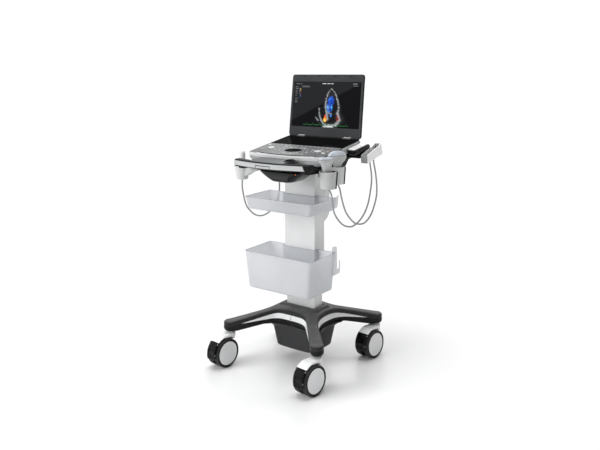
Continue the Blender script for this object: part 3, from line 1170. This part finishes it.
def wide(c, z0, lx, ly):
    """Probe axes (thickness, width, height) to the drawing: turned about z and leaning with height."""
    def f(p):
        p = IDN(p)
        h = p[:, 2] - z0
        return np.stack([p[:, 1] * TC + p[:, 0] * TS + c[0] + lx * h, p[:, 1] * TS - p[:, 0] * TC + c[1] + ly * h, p[:, 2]], 1)

    return f


for tag, xf, body_st, top_st, mark_z in (
        ("front", wide(CUP_R1, 738, 0.0, -0.12), [(738, 4.5, 4.5), (742, 6.0, 6.0), (754, 9, 8.4), (766, 13, 10), (785, 17, 10.8), (800, 19, 11), (814, 19.6, 11.2), (822, 21, 11.2), (828, 26, 11.6), (834, 30.0, 11.8), (843, 31, 11.8)],
         [(844.4, 30.6, 11.6), (845.2, 29.8, 10.6), (848.0, 28.6, 9.6), (850.4, 26, 7.6), (851.8, 21, 5.0), (852.4, 12, 2.6)], 824),
        ("rear", wide(CUP_R2, 746, 0.05, -0.08), [(746, 4.5, 4.5), (750, 6.0, 6.0), (762, 9, 8.4), (774, 13, 10), (793, 15, 10.8), (806, 16, 11), (816, 18.5, 11.2), (823, 23, 11.2), (830, 31, 11.6), (837, 37.5, 12.0), (846, 41, 12.2), (852, 41, 12)],
         [(853.6, 40.4, 11.9), (854.4, 39.2, 10.8), (858, 36.6, 10.2), (862, 32.6, 9.0), (865.5, 27, 7.4), (868.4, 19.5, 5.4), (870.2, 10.5, 3.0)], 832)):
    top_z = body_st[-1][0]
    rings = [lay(ellipse(0, 0, wx, wy, 56, 2.7), z) for z, wy, wx in body_st + top_st]
    pb = build("probe_%s_body" % tag, *rings_mesh(rings), "probe", "probe_" + tag, xf, sharp=60, slot="probe_grey", stands=["probe_" + tag])
    paint_faces(pb, ["probe", "lens"], lambda c, n, tz=top_z: np.where(c[:, 2] > tz + 1.9, 1, 0))
    build("probe_%s_index_mark" % tag, *slab(rrect(-2, 2, mark_z, mark_z + 10, 1.6, 4), 10.7, 11.9, 0.3, 0.5, 2), "white", "probe_" + tag, then(ax("yzx"), xf), slot="white_plastic")
    build("probe_%s_seam" % tag, *rings_mesh([lay(ellipse(0, 0, w1, w0, 56, 2.7), z) for z, w0, w1 in ((top_z - 0.1, body_st[-1][1] + 0.25, body_st[-1][2] + 0.25), (top_z + 0.5, body_st[-1][1] + 0.25, body_st[-1][2] + 0.25), (top_z + 0.5, body_st[-1][1] - 2, body_st[-1][2] - 2), (top_z - 0.1, body_st[-1][1] - 2, body_st[-1][2] - 2))], wrap=True), "deck", "probe_" + tag, xf, sharp=60, slot="charcoal_plastic")

CAB = {
    "left": [(-219, -140, 739), (-219, -140, 731), (-219, -140.5, 698), (-214.5, -136, 660), (-209, -130, 629), (-201, -121.5, 609), (-186, -105, 587), (-169, -86, 579), (-153, -68, 585),
             (-139, -46, 602), (-131, -24, 630), (-128, -12, 670), (-128, -10, 720), (-128, -10, 787)],
    "front": [(205, -142, 740), (209, -141.6, 731), (216, -140.5, 719), (220, -139, 705), (222, -126, 644), (223, -81, 597), (225, -35, 576), (227, 9, 574), (229, 63, 597), (231, 103, 641), (232, 127, 711), (234, 127, 754), (240, 105, 805), (247, 93, 826)],
    "rear": [(201, -74, 748), (205, -73.5, 740), (213, -72.5, 722), (220, -71, 688), (222, -45, 633), (225, -3, 592), (227, 35, 574), (229, 84, 572), (231, 129, 598), (233, 159, 645), (236, 166, 689), (238, 155, 751), (244, 128, 805), (247, 119, 829)],
}
for tag, pts in CAB.items():
    path = spline(pts, 12)
    rr = np.full(len(path), 3.3)
    flare = np.clip(1 - np.arange(len(path)) / 14.0, 0, 1)
    cab = build("probe_%s_cable_run" % tag, *swept(path, rr + 1.3 * flare, 16), "cable", None, sharp=60, wn=False, slot="cable_grey", stands=["probe_%s_cable" % tag])
    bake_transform(cab)

# right side: rail, arm, hanger and connector, all square to the leaning scanner
rail = corner_poly([(-276, -62, 5), (-10, -62, 4), (-10, -41, 3), (-276, -41, 4)], 5)
build("accessory_rail_bar", *slab(rail, 150.5, 170.5, 2.5, 2.5, 4), "black", "carriage", then(ax("yzx"), LAP), slot="black_plastic", stands=["right_accessory_rail"])
build("accessory_rail_groove", *slab(rrect(-262, -22, -54, -49, 2.2, 4), 170.2, 171.0, 0.2, 0.3, 2), "black_gloss", "carriage", then(ax("yzx"), LAP), slot="black_gloss")
rarm = corner_poly([(169, -96, 3), (232.6, -96, 3), (232.6, -6, 3), (169, -6, 3)], 4)
build("accessory_rail_arm", *slab(rarm, -50, -41, 2, 2, 4), "black", "carriage", LAP, slot="black_plastic")
hang = corner_poly([(-94, -71, 9), (-58, -69, 12), (34, -64, 9), (26, -16, 7), (12, -22, 12), (-90, -37, 8)], 6)
hanger = build("cable_hanger_shell", *slab(hang, 233, 264, 4.0, 5.0, 5), "white", "carriage", then(ax("yzx"), LAP), slot="white_plastic", stands=["cable_hanger"])
cut = corner_poly([(-88, -58, 6), (20, -57, 8), (15, 10, 1), (-86, 10, 1)], 6)
carve(hanger, slab(cut, 237, 260, 1, 1, 2), xf=then(ax("yzx"), LAP))
paint_faces(hanger, ["white_gloss", "hanger_end"], lambda c, n: np.where((n[:, 1] < -0.6) | ((np.abs(n[:, 0]) < 0.9) & (c[:, 0] < 259) & (n[:, 2] > -0.2) & (c[:, 0] > 238)), 1, 0))
build("cable_hanger_lining", *slab(corner_poly([(-86, -57.6, 5), (18, -56.6, 7), (16, -40, 1), (-84, -47, 1)], 5), 237.4, 259.6, 0.5, 0.5, 2), "deck", "carriage", then(ax("yzx"), LAP), slot="charcoal_plastic")
conn = rrect(-106, 2, -38, -15, 10, 7)
build("connector_body", *slab(conn, 182, 226, 5, 5, 5), "black_gloss", "carriage", then(ax("yzx"), LAP), slot="black_gloss", stands=["probe_connector"])
build("connector_top", *slab(corner_poly([(183, -102, 9), (219, -102, 12), (219, 0, 12), (183, 0, 9)], 6), -17.0, -12.6, 0.4, 1.4, 4), "white_gloss", "carriage", LAP, slot="white_plastic")
build("connector_port", *slab(rrect(-92, -12, -33, -20, 4, 5), 179.8, 183.0, 0.3, 0.3, 2), "black", "carriage", then(ax("yzx"), LAP), slot="black_plastic")

# --------------------------------------------------------------- scanner base


def bow(x, inset=0.0, extra=0.0):
    return -280 + inset - (19 + extra) * (1 - (x / (180.0 - inset)) ** 2)


def lap_outline(y1, inset, r=10, extra=0.0, n=28, back=4):
    xs = 180.0 - inset
    front = [(x, bow(x, inset, extra)) for x in np.linspace(-xs + r, xs - r, n)]
    fl = [(-xs, bow(-xs, inset, extra) + r), (-xs + r * 0.12, bow(-xs, inset, extra) + r * 0.42), (-xs + r * 0.42, bow(-xs + r * 0.42, inset, extra) + r * 0.1)]
    frt = [(-x, y) for x, y in fl[::-1]]
    rear = [(xs, y1 - back), (xs - back * 0.3, y1 - back * 0.3), (xs - back, y1), (-xs + back, y1), (-xs + back * 0.3, y1 - back * 0.3), (-xs, y1 - back)]
    return ccw(np.array(fl + front + frt + rear))


body_rings = []
for i in range(6):
    a = rad(90 * i / 5)
    body_rings.append(lay(lap_outline(12, 0, 14) * np.array([0.965, 1.0]) * 1.0 + 0.0, -40))
    body_rings[-1] = lay(offset(lap_outline(11, 0, 14) * np.array([0.965, 0.985]), 8 * (1 - math.sin(a))), -40 + 8 * (1 - math.cos(a)))
body_rings += [lay(lap_outline(12, 1.2, 13), -24), lay(lap_outline(12, 0, 12), -16.0), lay(offset(lap_outline(12, 0, 12), 0.5), -14.6)]
build("scanner_shell_tub", *rings_mesh(body_rings), "console_side", "carriage", LAP, sharp=45, slot="silver_plastic", stands=["scanner_base_shell"])
rim = corner_poly([(-180, -137.4, 2), (180, -137.4, 2), (180, -6, 6), (-180, -6, 6)], 5)
build("scanner_shell_deck", *slab(rim, -14.4, -4.9, 0.4, 1.0, 3), "silver_rim", "carriage", LAP, slot="silver_plastic")
build("scanner_hinge_sill", *slab(corner_poly([(-179, -7.9, 1), (179, -7.9, 1), (179, -4.9, 1), (-179, -4.9, 1)], 3), -14.2, -0.9, 0.4, 0.5, 2), "lid", "carriage", LAP, slot="charcoal_plastic")
build("scanner_hinge_cover", *slab(corner_poly([(-176, -5.6, 2), (176, -5.6, 2), (176, 6, 4), (-176, 6, 4)], 4), -14.2, -6.2, 0.4, 1.5, 3), "lid", "carriage", LAP, slot="charcoal_plastic")

PANEL_Y = -137.7
M["edge"] = plastic("panel_edge_silver", (0.74, 0.75, 0.75), 0.26, 0.04, 0.6, 0.02, 0.1, metal=0.1)
PAD = (0, -213, 40, 27)
TOG = {"toggle_left": (-121, -200), "toggle_right": (112, -204)}
panel = build("key_panel_plate", *slab(lap_outline(PANEL_Y - 0.2, 0, 12, back=1.0), -13.8, 0, 1.0, 2.4, 4), "console", "carriage", LAP, slot="silver_plastic", stands=["key_panel"])


def well(cx, cy, a, b, lo=-4.6, e=2.0, n=48):
    carve(panel, rings_mesh([lay(ellipse(cx, cy, a, b, n, e), lo), lay(ellipse(cx, cy, a, b, n, e), -0.9), lay(ellipse(cx, cy, a + 1.1, b + 1.1, n, e), 0.6)]), xf=LAP)


well(*PAD[:2], PAD[2] + 0.8, PAD[3] + 0.8)
for c in TOG.values():
    well(*c, 17.6, 10.6, -6)
well(150, -222, 9.6, 6.6, -6)
well(-160, -160, 6.5, 6.5, -6)
LN = np.array([0, -math.sin(rad(9.8)), math.cos(rad(9.8))])
paint_faces(panel, ["console", "edge"], lambda c, n: np.where((np.abs(n @ LN) < 0.93) & (np.hypot(c[:, 0], 0) > -1) & (c[:, 1] < -130), 1, 0))
build("trackpad_surface", *slab(ellipse(*PAD[:2], PAD[2], PAD[3], 64), -4.2, -0.5, 0.5, 1.2, 4), "pad", "carriage", LAP, slot="black_plastic", stands=["trackpad"])
build("trackpad_ring", *rings_mesh([lay(ellipse(0, -213, 42.6, 29.6, 64), 0.05), lay(ellipse(0, -213, 42.0, 29.0, 64), 0.5), lay(ellipse(0, -213, 40.9, 27.9, 64), 0.3), lay(ellipse(0, -213, 40.7, 27.7, 64), -1.5), lay(ellipse(0, -213, 42.4, 29.4, 64), -1.0)], wrap=True), "silver_rim", "carriage", LAP, slot="silver_plastic")
for name, (cx, cy) in TOG.items():
    dish = [lay(ellipse(cx, cy, 16.6, 9.6, 48), -3.6), lay(ellipse(cx, cy, 16.9, 9.9, 48), -3.0), lay(ellipse(cx, cy, 16.9, 9.9, 48), 0.6), lay(ellipse(cx, cy, 16.2, 9.2, 48), 1.5), lay(ellipse(cx, cy, 15, 8, 48), 1.8),
            lay(ellipse(cx, cy, 11, 5.6, 48), 1.3), lay(ellipse(cx, cy, 5, 2.4, 48), 1.0)]
    build(name + "_cap", *rings_mesh(dish), "key", name, LAP, slot="white_key", stands=[name])
build("freeze_key_cap", *slab(ellipse(150, -222, 9, 6, 40), -3.6, 1.2, 0.4, 1.2, 4), "key", "freeze_key", LAP, slot="white_key", stands=["freeze_key"])
build("power_button_cap", *slab(ellipse(-160, -160, 6, 6, 36), -3.6, 0.8, 0.4, 1.0, 4), "key", "power_button", LAP, slot="white_key", stands=["power_button"])
for k, (x, y, a, b) in enumerate(((78, -190, 5.5, 4), (115, -180, 5.5, 4), (33, -179, 6, 3.6), (154, -214 + 16, 5.5, 4), (-64, -172, 6, 3.6), (-34, -179, 6, 3.6), (-84, -224, 5.5, 4), (78, -232, 5.5, 4), (-150, -222, 5.5, 4))):
    build("panel_key_%d" % k, *slab(ellipse(x, y, a, b, 32, 2.6), -0.4, 1.0, 0.2, 0.8, 3), "silver_rim", "carriage", LAP, slot="silver_plastic")
M["red"] = plastic("red_lamp", (0.55, 0.03, 0.02), 0.3, 0.05, 0.5, 0.05, 0.1)
build("panel_lamp", *slab(ellipse(151, -185, 2.2, 1.6, 20), -0.3, 0.5, 0.1, 0.4, 2), "red", "carriage", LAP, slot="white_key")


def slot_y(x):
    """Line of the finger slot just behind the front edge of the key panel."""
    return -294.2 + 0.00062 * (x - 18) ** 2 + 0.0000004 * (x + 120) ** 3


def ribbon(x0, x1, lo, hi, n=44, tip=10.0):
    xs = np.linspace(x0, x1, n)
    k = np.clip(np.minimum(xs - x0, x1 - xs) / tip, 0.12, 1) ** 0.5
    mid = np.array([(lo(x) + hi(x)) / 2 for x in xs])
    half = np.array([(hi(x) - lo(x)) / 2 for x in xs]) * k
    return np.array(list(zip(xs, mid - half)) + list(zip(xs[::-1], (mid + half)[::-1])))


def behind_slot(p):
    p = IDN(p)
    k = np.clip(1 - (p[:, 1] - slot_y(p[:, 0]) - 3.0) / 16.0, 0.04, 1)
    return LAP(np.stack([p[:, 0], p[:, 1], np.where(p[:, 2] > 0, p[:, 2] * k, p[:, 2])], 1))


build("panel_grip_slot", *slab(ribbon(-126, 144, lambda x: slot_y(x) + 0.2, lambda x: slot_y(x) + 3.8), -0.2, 3.0, 0.02, 0.3, 1), "black", "carriage", LAP, slot="black_plastic")
build("panel_grip_brow", *slab(ribbon(-128, 146, lambda x: slot_y(x) + 1.6, lambda x: slot_y(x) + 20.0), -0.2, 3.9, 0.1, 0.8, 3), "console", "carriage", behind_slot, slot="silver_plastic")
build("panel_grip_ridge", *slab(ribbon(-132, 150, lambda x: max(slot_y(x) - 9.0, bow(x) + 1.2), lambda x: max(slot_y(x) - 0.8, bow(x) + 3.0)), -0.2, 1.5, 0.1, 1.0, 3), "edge", "carriage", LAP, slot="silver_plastic")
# small keys in rows round the trackpad, and rings round the two toggles
small = []
for i in range(15):
    small.append(slab(ellipse(-146 + 20.6 * i, -150.5, 5.2, 2.6, 16, 3.0), -0.3, 0.9, 0.1, 0.6, 2))
for i in range(7):
    for s_ in (-1, 1):
        a_ = rad(24 + 22 * i)
        small.append(slab(ellipse(s_ * (58 + 4 * math.sin(a_)) * math.cos(a_ - 1.57) ** 2 + s_ * 6, -213 - 44 * math.cos(a_), 4.6, 2.8, 14, 3.0), -0.3, 0.9, 0.1, 0.6, 2))
for cx_, cy_ in TOG.values():
    for i in range(8):
        a_ = rad(22.5 + 45 * i)
        small.append(slab(ellipse(cx_ + 27 * math.cos(a_), cy_ + 20 * math.sin(a_), 4.0, 2.5, 14, 3.0), -0.3, 0.8, 0.1, 0.6, 2))
for i in range(9):
    small.append(slab(ellipse(-72 + 18 * i, -256 - 4 * (1 - (i - 4) ** 2 / 16.0), 5.4, 2.6, 14, 3.0), -0.3, 0.9, 0.1, 0.6, 2))
build("panel_small_keys", *join(*small), "silver_rim", "carriage", LAP, slot="silver_plastic")
gaps = []
for cx_, cy_ in TOG.values():
    gaps.append(rings_mesh([lay(ellipse(cx_, cy_, 20.4, 13.2, 48), -0.2), lay(ellipse(cx_, cy_, 20.4, 13.2, 48), 0.25), lay(ellipse(cx_, cy_, 17.8, 10.8, 48), 0.25), lay(ellipse(cx_, cy_, 17.8, 10.8, 48), -0.2)], wrap=True))
build("panel_toggle_gaps", *join(*gaps), "box", "carriage", LAP, sharp=50, slot="charcoal_plastic")
build("touch_glass_sheet", *slab(corner_poly([(-179, -137.2, 3), (179, -137.2, 3), (179, -8, 5), (-179, -8, 5)], 5), -4.4, -0.6, 0.3, 0.7, 3), "glass", "carriage", LAP, slot="screen_glass", stands=["touch_glass"])

# ------------------------------------------------------------------------ lid
lid_out = rrect(-183.5, 183.5, 1.2, 266, 11, 8)
bez_out = rrect(-181.2, 181.2, 1.2, 263.8, 9.5, 8)
shell = build("lid_back_shell", *slab(lid_out, -9.0, -1.4, 2.6, 1.2, 5), "lid", "lid", then(lambda p: np.stack([IDN(p)[:, 0], -IDN(p)[:, 2], IDN(p)[:, 1]], 1), LID), slot="charcoal_plastic", stands=["lid_shell"])
upright = then(lambda p: np.stack([IDN(p)[:, 0], -IDN(p)[:, 2], IDN(p)[:, 1]], 1), LID)
bez = build("lid_bezel", *slab(bez_out, -3.3, -0.05, 0.2, 0.9, 3), "bezel", "lid", upright, slot="charcoal_plastic", stands=["lid_screen"])
carve(shell, slab(bez_out, -3.3, 2, 0.01, 0.01, 1), xf=upright)
carve(bez, slab(rrect(-172, 172, 41, 235, 1.5, 3), -1.2, 2, 0.01, 0.01, 1), xf=upright)
for s in (-1, 1):
    for ob in (bez, shell):
        carve(ob, slab(rrect(96.5 if s > 0 else -135.5, 135.5 if s > 0 else -96.5, -6, 5.2, 1, 2), -12, 4, 0.01, 0.01, 1), xf=upright)
SC, CC = math.sin(rad(-6.7)), math.cos(rad(-6.7))


def screen_mat():
    m, t, b, co = begin("screen_picture")
    sep = t.nodes.new("ShaderNodeSeparateXYZ")
    t.links.new(co.outputs["Object"], sep.inputs[0])
    x = N(sep.outputs[0]) * 1000.0 - float(SH[0])
    ry = N(sep.outputs[1]) * 1000.0 - float(SH[1] + HINGE[1])
    rz = N(sep.outputs[2]) * 1000.0 - float(SH[2] + HINGE[2])
    h = rz * CC - ry * SC - 41.0
    cmb = t.nodes.new("ShaderNodeCombineXYZ")
    t.links.new(x.s, cmb.inputs[0])
    t.links.new(h.s, cmb.inputs[1])
    P = N(cmb.outputs[0])
    grain = noise(P, 0.42, 3.0, 0.7)
    blotch = noise(P, 0.085, 3.0, 0.6, w=5.0)
    vein = noise(P, 0.16, 4.0, 0.65, w=9.0)

    def seg(x0, y0, x1, y1, w):
        """Soft line of half-width w from one point to the other."""
        ex, ey = x1 - x0, y1 - y0
        ll = ex * ex + ey * ey
        px, py = x - x0, h - y0
        t_ = clamp01((px * (ex / ll)) + (py * (ey / ll)))
        qx, qy = px - t_ * ex, py - t_ * ey
        return (nsqrt(qx * qx + qy * qy) + (vein - 0.5) * 22.0) * (1.0 / w)

    walls = None
    for args in ((27, 163, 10, 148, 2.0), (10, 148, 2, 120, 2.2), (2, 120, 1, 90, 2.4), (1, 90, 8, 62, 3.2), (8, 62, 14, 34, 3.8),
                 (29, 163, 50, 140, 1.8), (50, 140, 61, 112, 2.2), (61, 112, 69, 86, 2.4), (69, 86, 64, 62, 3.0), (64, 60, 77, 34, 5.0), (76, 34, 58, 14, 5.5),
                 (-32, 78, -28, 56, 2.4), (-28, 56, -20, 36, 3.0), (-20, 36, -8, 18, 3.0), (-8, 18, 14, 8, 3.6), (14, 8, 58, 12, 3.6), (8, 62, 30, 60, 2.6), (-48, 42, -34, 30, 1.6)):
        k_ = seg(*args)
        walls = k_ if walls is None else N.math("MINIMUM", walls, k_)
    dx, dy = x - 27.0, nmax(163.0 - h, 1.0)
    u = dx / dy
    r = nsqrt(dx * dx + dy * dy)
    fan = (1.0 - step(nabs(u), 0.60, 0.63)) * (1.0 - step(r, 158.0, 161.0))
    tissue = fan * step(grain, 0.45, 0.85) * 0.05
    low = window(h, 0.0, 7.0, 2.5) * window(x, -6.0, 44.0, 8.0) * step(grain, 0.3, 0.6)
    speck = noise(P, 0.9, 2.0, 0.6, w=2.0)
    near = 1.0 - step(walls, 0.4, 1.7)
    halo = 1.0 - step(walls, 1.2, 4.2)
    grey = tissue + near * step(grain, 0.36, 0.60) * 0.50 + halo * step(speck, 0.56, 0.70) * 0.30 + low * 0.75

    def blob(cx, cy, a, b_, k=0.35):
        d = nsqrt(((x - cx) / a) * ((x - cx) / a) + ((h - cy) / b_) * ((h - cy) / b_)) + (vein - 0.5) * k * 3.0
        return 1.0 - step(d, 0.78, 0.98)

    blue = nmax(blob(28, 112, 17, 23), blob(20, 84, 17, 24))
    cyan = blue * step(grain + (blotch - 0.5) * 0.8, 0.47, 0.60) * (1.0 - step(h, 84.0, 104.0) * 0.85)
    yel = blue * step(speck, 0.55, 0.64) * window(h, 70.0, 96.0, 5.0) * (1.0 - step(x, 14.0, 26.0))
    ora = blob(2, 33, 10, 12)
    core = blob(1, 30, 5.5, 8)
    b2 = blob(30, 50, 5, 7)
    red = nmax(step(speck, 0.52, 0.62) * blob(66, 40, 12, 16, 0.2), blob(1, 49, 4.5, 5))
    col = mixc(1.0, (0, 0, 0), (0, 0, 0))
    gr = t.nodes.new("ShaderNodeCombineColor")
    for i, k in enumerate((0.95, 1.0, 1.02)):
        t.links.new((grey * k).s, gr.inputs[i])
    col = N(gr.outputs[0])
    col = mixc(blue * 0.95, col, mixc(step(blotch + (grain - 0.5) * 0.8, 0.44, 0.58), (0.004, 0.02, 0.30), (0.015, 0.12, 0.80)))
    col = mixc(cyan * 0.8, col, (0.10, 0.55, 0.95))
    col = mixc(yel * 0.7, col, (0.9, 0.75, 0.15))
    col = mixc(b2 * 0.9, col, (0.05, 0.22, 0.8))
    col = mixc(b2 * step(grain, 0.6, 0.7), col, (0.85, 0.7, 0.1))
    col = mixc(ora, col, (0.95, 0.25, 0.02))
    col = mixc(core, col, (1.0, 0.72, 0.12))
    col = mixc(red, col, (0.75, 0.06, 0.02))
    # colour scale at the left
    bar = window(x, -136.5, -133.0, 0.3) * window(h, 127.0, 165.0, 0.4)
    top = step(h, 146.0, 164.0)
    bot = 1.0 - step(h, 128.0, 144.0)
    barc = mixc(top, mixc(bot, (0.12, 0.006, 0.006), (0.02, 0.14, 0.45)), (0.5, 0.33, 0.05))
    col = mixc(bar, col, barc)
    # grey scale beside it, header rule and generic tick marks
    bar2 = window(x, -141.0, -138.5, 0.3) * window(h, 127.0, 165.0, 0.4)
    g2 = step(h, 127.0, 165.0) * 0.5
    cg = t.nodes.new("ShaderNodeCombineColor")
    for i in range(3):
        t.links.new(g2.s, cg.inputs[i])
    col = mixc(bar2 * 0.5, col, N(cg.outputs[0]))
    marks = None

    def dash(x0, x1, y0, y1, s):
        return window(x, x0, x1, 0.35) * window(h, y0, y1, 0.35) * s

    for args in ((-160, -140, 183, 185, 0.25), (-136, -128, 183, 185, 0.25), (-22, -2, 184, 187, 0.7), (3, 18, 184, 187, 0.7), (22, 34, 184, 187, 0.7), (132, 152, 184, 186, 0.4),
                 (-163, -150, 170, 171.6, 0.3), (-163, -146, 163, 164.6, 0.3), (-163, -152, 148, 149.6, 0.3), (-163, -148, 120, 121.6, 0.25), (-163, -150, 111, 112.6, 0.25), (-163, -147, 104, 105.6, 0.25),
                 (-128, -92, 174, 175.4, 0.25), (-128, -86, 170, 171.4, 0.25), (134, 158, 176, 177.4, 0.3), (-163, -152, 155, 156.4, 0.2), (-163, -150, 140, 141.4, 0.2), (-163, -154, 132, 133.4, 0.2)):
        d = dash(*args)
        marks = d if marks is None else nmax(marks, d)
    tick = window(N.math("FRACT", h / 10.0), 0.0, 0.14, 0.03) * window(x, 118.0, 121.0, 0.3) * window(h, 12.0, 165.0, 0.5) * 0.0
    wave = nabs(h - 9.0 - nmax(nsin(x * 0.19), 0.82) * 40.0 + 32.8)
    trace = (1.0 - step(wave, 0.5, 1.3)) * window(x, -110.0, 118.0, 2.0)
    col = mixc(nmax(marks, tick), col, (0.9, 0.92, 0.95))
    col = mixc(trace * 0.35, col, (0.08, 0.6, 0.15))
    sheen = step(h - 29.0 - (x + 160.0) * 0.48, -4.0, 7.0)
    put(t, b, "Base Color", (0.004, 0.004, 0.005))
    smear = noise(co.outputs["Object"], 22.0, 4.0, 0.6)
    put(t, b, "Roughness", clamp01(0.12 + step(smear, 0.45, 0.75) * 0.06))
    put(t, b, "Specular IOR Level", 0.08)
    add = t.nodes.new("ShaderNodeMix")
    add.data_type = "RGBA"
    add.blend_type = "ADD"
    add.inputs[0].default_value = 1.0
    t.links.new(col.s, add.inputs[6])
    sh = mixc(sheen, (0.0, 0.0, 0.0), (0.0125, 0.0130, 0.0135))
    t.links.new(sh.s, add.inputs[7])
    put(t, b, "Emission Color", N(add.outputs[2]))
    put(t, b, "Emission Strength", 1.15)
    bump(t, b, smear, 0.01, 0.0002)
    return m


M["screen"] = screen_mat()
build("lid_screen_glass", *slab(rrect(-171.9, 171.9, 41.1, 234.9, 1.4, 3), -1.4, -0.55, 0.05, 0.2, 2), "screen", "lid", upright, slot="screen_glass")
shaft = turned(fillet([(0, -150), (2.6, -150), (2.6, 150), (0, 150)], [0, .5, .5, 0], 2), 24)
xr = lambda p: np.stack([IDN(p)[:, 2], IDN(p)[:, 0], IDN(p)[:, 1]], 1)
build("lid_hinge_pin", *shaft, "steel", "lid", then(xr, LID), slot="steel", stands=["lid_hinge_shaft"])
for s, side in ((-1, "left"), (1, "right")):
    bar = turned(fillet([(0, 98), (4.1, 98), (4.1, 134), (0, 134)], [0, .8, .8, 0], 3), 28)
    build("lid_hinge_barrel_" + side, *bar, "barrel", "lid", then(lambda p, s=s: np.stack([IDN(p)[:, 2] * s, IDN(p)[:, 0], IDN(p)[:, 1]], 1), LID), slot="steel")
for k, (a, b_) in enumerate(((-176, -136), (-96, 96), (136, 176))):
    sl = turned(fillet([(2.7, a), (3.9, a), (3.9, b_), (2.7, b_), (2.7, a)], [0, .5, .5, 0, 0], 2), 24)
    build("lid_hinge_sleeve_%d" % k, *sl, "lid", "lid", then(xr, LID), slot="charcoal_plastic")
for k, x in enumerate((-120, -40, 40, 120)):
    build("lid_rubber_foot_%d" % k, *slab(rrect(x - 8, x + 8, 255.5, 258.5, 1.4, 4), -0.2, 0.5, 0.1, 0.3, 2), "black", "lid", upright, slot="black_plastic")

# ---------------------------------------------------------- floor, light, camera
sc = bpy.context.scene
sc.view_settings.view_transform = "Standard"


def floor():
    me = bpy.data.meshes.new("floor")
    s = 14.0
    me.from_pydata([(-s, -s, -0.0006), (s, -s, -0.0006), (s, s * 4, -0.0006), (-s * 3, s * 4, -0.0006)], [], [(0, 1, 2, 3)])
    ob = bpy.data.objects.new("floor", me)
    sc.collection.objects.link(ob)
    m, t, b, co = begin("floor_paint")
    s1 = noise(co.outputs["Object"], 3.0, 3.0, 0.5)
    put(t, b, "Base Color", mixc(s1, (0.94, 0.942, 0.945), (0.955, 0.957, 0.96)))
    put(t, b, "Roughness", clamp01(0.22 + (s1 - 0.5) * 0.08))
    put(t, b, "Specular IOR Level", 0.3)
    # away from the machine the floor turns into the white backdrop
    sp = t.nodes.new("ShaderNodeSeparateXYZ")
    t.links.new(co.outputs["Object"], sp.inputs[0])
    fx, fy = N(sp.outputs[0]), N(sp.outputs[1])
    dist = nsqrt(fx * fx + fy * fy)
    em = t.nodes.new("ShaderNodeEmission")
    em.inputs["Strength"].default_value = 1.04
    mx = t.nodes.new("ShaderNodeMixShader")
    t.links.new(step(dist, 0.40, 0.90).s, mx.inputs[0])
    t.links.new(b.outputs[0], mx.inputs[1])
    t.links.new(em.outputs[0], mx.inputs[2])
    t.links.new(mx.outputs[0], t.nodes["Material Output"].inputs["Surface"])
    me.materials.append(m)


floor()
world = bpy.data.worlds.new("studio")
sc.world = world
world.use_nodes = True
wt = world.node_tree
N.tree = wt
bg = wt.nodes["Background"]
lp = wt.nodes.new("ShaderNodeLightPath")
tc = wt.nodes.new("ShaderNodeTexCoord")
sp = wt.nodes.new("ShaderNodeSeparateXYZ")
wt.links.new(tc.outputs["Generated"], sp.inputs[0])
up = step(N(sp.outputs[2]), -0.1, 0.9)
side = step(N(sp.outputs[0]), -0.5, 0.85)
glow = 0.60 + up * 0.22 - side * 0.42
st = N(lp.outputs["Is Camera Ray"])
wt.links.new((st * 1.04 + (1.0 - st) * glow).s, bg.inputs["Strength"])
bg.inputs["Color"].default_value = (1, 1, 1, 1)


def area(name, loc, target, size, power, size_y=None, color=(1, 1, 1), seen=True):
    l = bpy.data.lights.new(name, "AREA")
    l.energy = power
    l.color = color
    l.shape = "RECTANGLE"
    l.size = size
    l.size_y = size_y or size
    ob = bpy.data.objects.new(name, l)
    sc.collection.objects.link(ob)
    ob.location = loc
    ob.rotation_euler = (Vector(target) - Vector(loc)).to_track_quat("-Z", "Y").to_euler()
    ob.visible_camera = False
    ob.visible_glossy = seen
    return ob


area("key", (-1.7, -3.2, 1.9), (0, 0, 0.6), 2.2, 84, seen=False)
area("fill_right", (2.8, -0.6, 1.7), (0, 0, 0.6), 1.4, 0.8)
area("top", (-0.1, -0.1, 3.4), (0, 0, 0.3), 2.4, 46)
area("rim", (-1.2, 2.4, 2.2), (0, 0, 0.8), 1.4, 12)

cam_data = bpy.data.cameras.new("camera")
cam = bpy.data.objects.new("camera", cam_data)
sc.collection.objects.link(cam)
cam_data.sensor_width = 36.0
cam_data.sensor_fit = "HORIZONTAL"
cam_data.lens = 41.73
cam.location = row((1659.5, -2291.2, 1161.1))[0]
cam.rotation_euler = (rad(90), 0, rad(36.39))
cam_data.clip_end = 200
sc.camera = cam
bpy.context.view_layer.update()


def shift_lens(value):
    """Shifts the lens at this standing point only; from anywhere else the lens is centred, so the object stays in the frame."""
    cam_data.shift_y = value
    curve = cam_data.driver_add("shift_y")
    while curve.modifiers:
        curve.modifiers.remove(curve.modifiers[0])
    curve.driver.type = "SUM"
    here = 0.0
    for axis, weight in ((0, 11), (1, 2), (2, 13)):
        here += cam.location[axis] * weight
        for i in range(weight):
            var = curve.driver.variables.new()
            var.name = "%s%d" % ("xyz"[axis], i)
            var.type = "TRANSFORMS"
            var.targets[0].id = cam
            var.targets[0].transform_type = ("LOC_X", "LOC_Y", "LOC_Z")[axis]
            var.targets[0].transform_space = "WORLD_SPACE"
    for step_at, v in ((-0.06, 0.0), (-0.03, value), (0.03, value), (0.06, 0.0)):
        curve.keyframe_points.insert(here + step_at, v).interpolation = "LINEAR"
    curve.extrapolation = "CONSTANT"
    curve.update()


shift_lens(-0.2515)
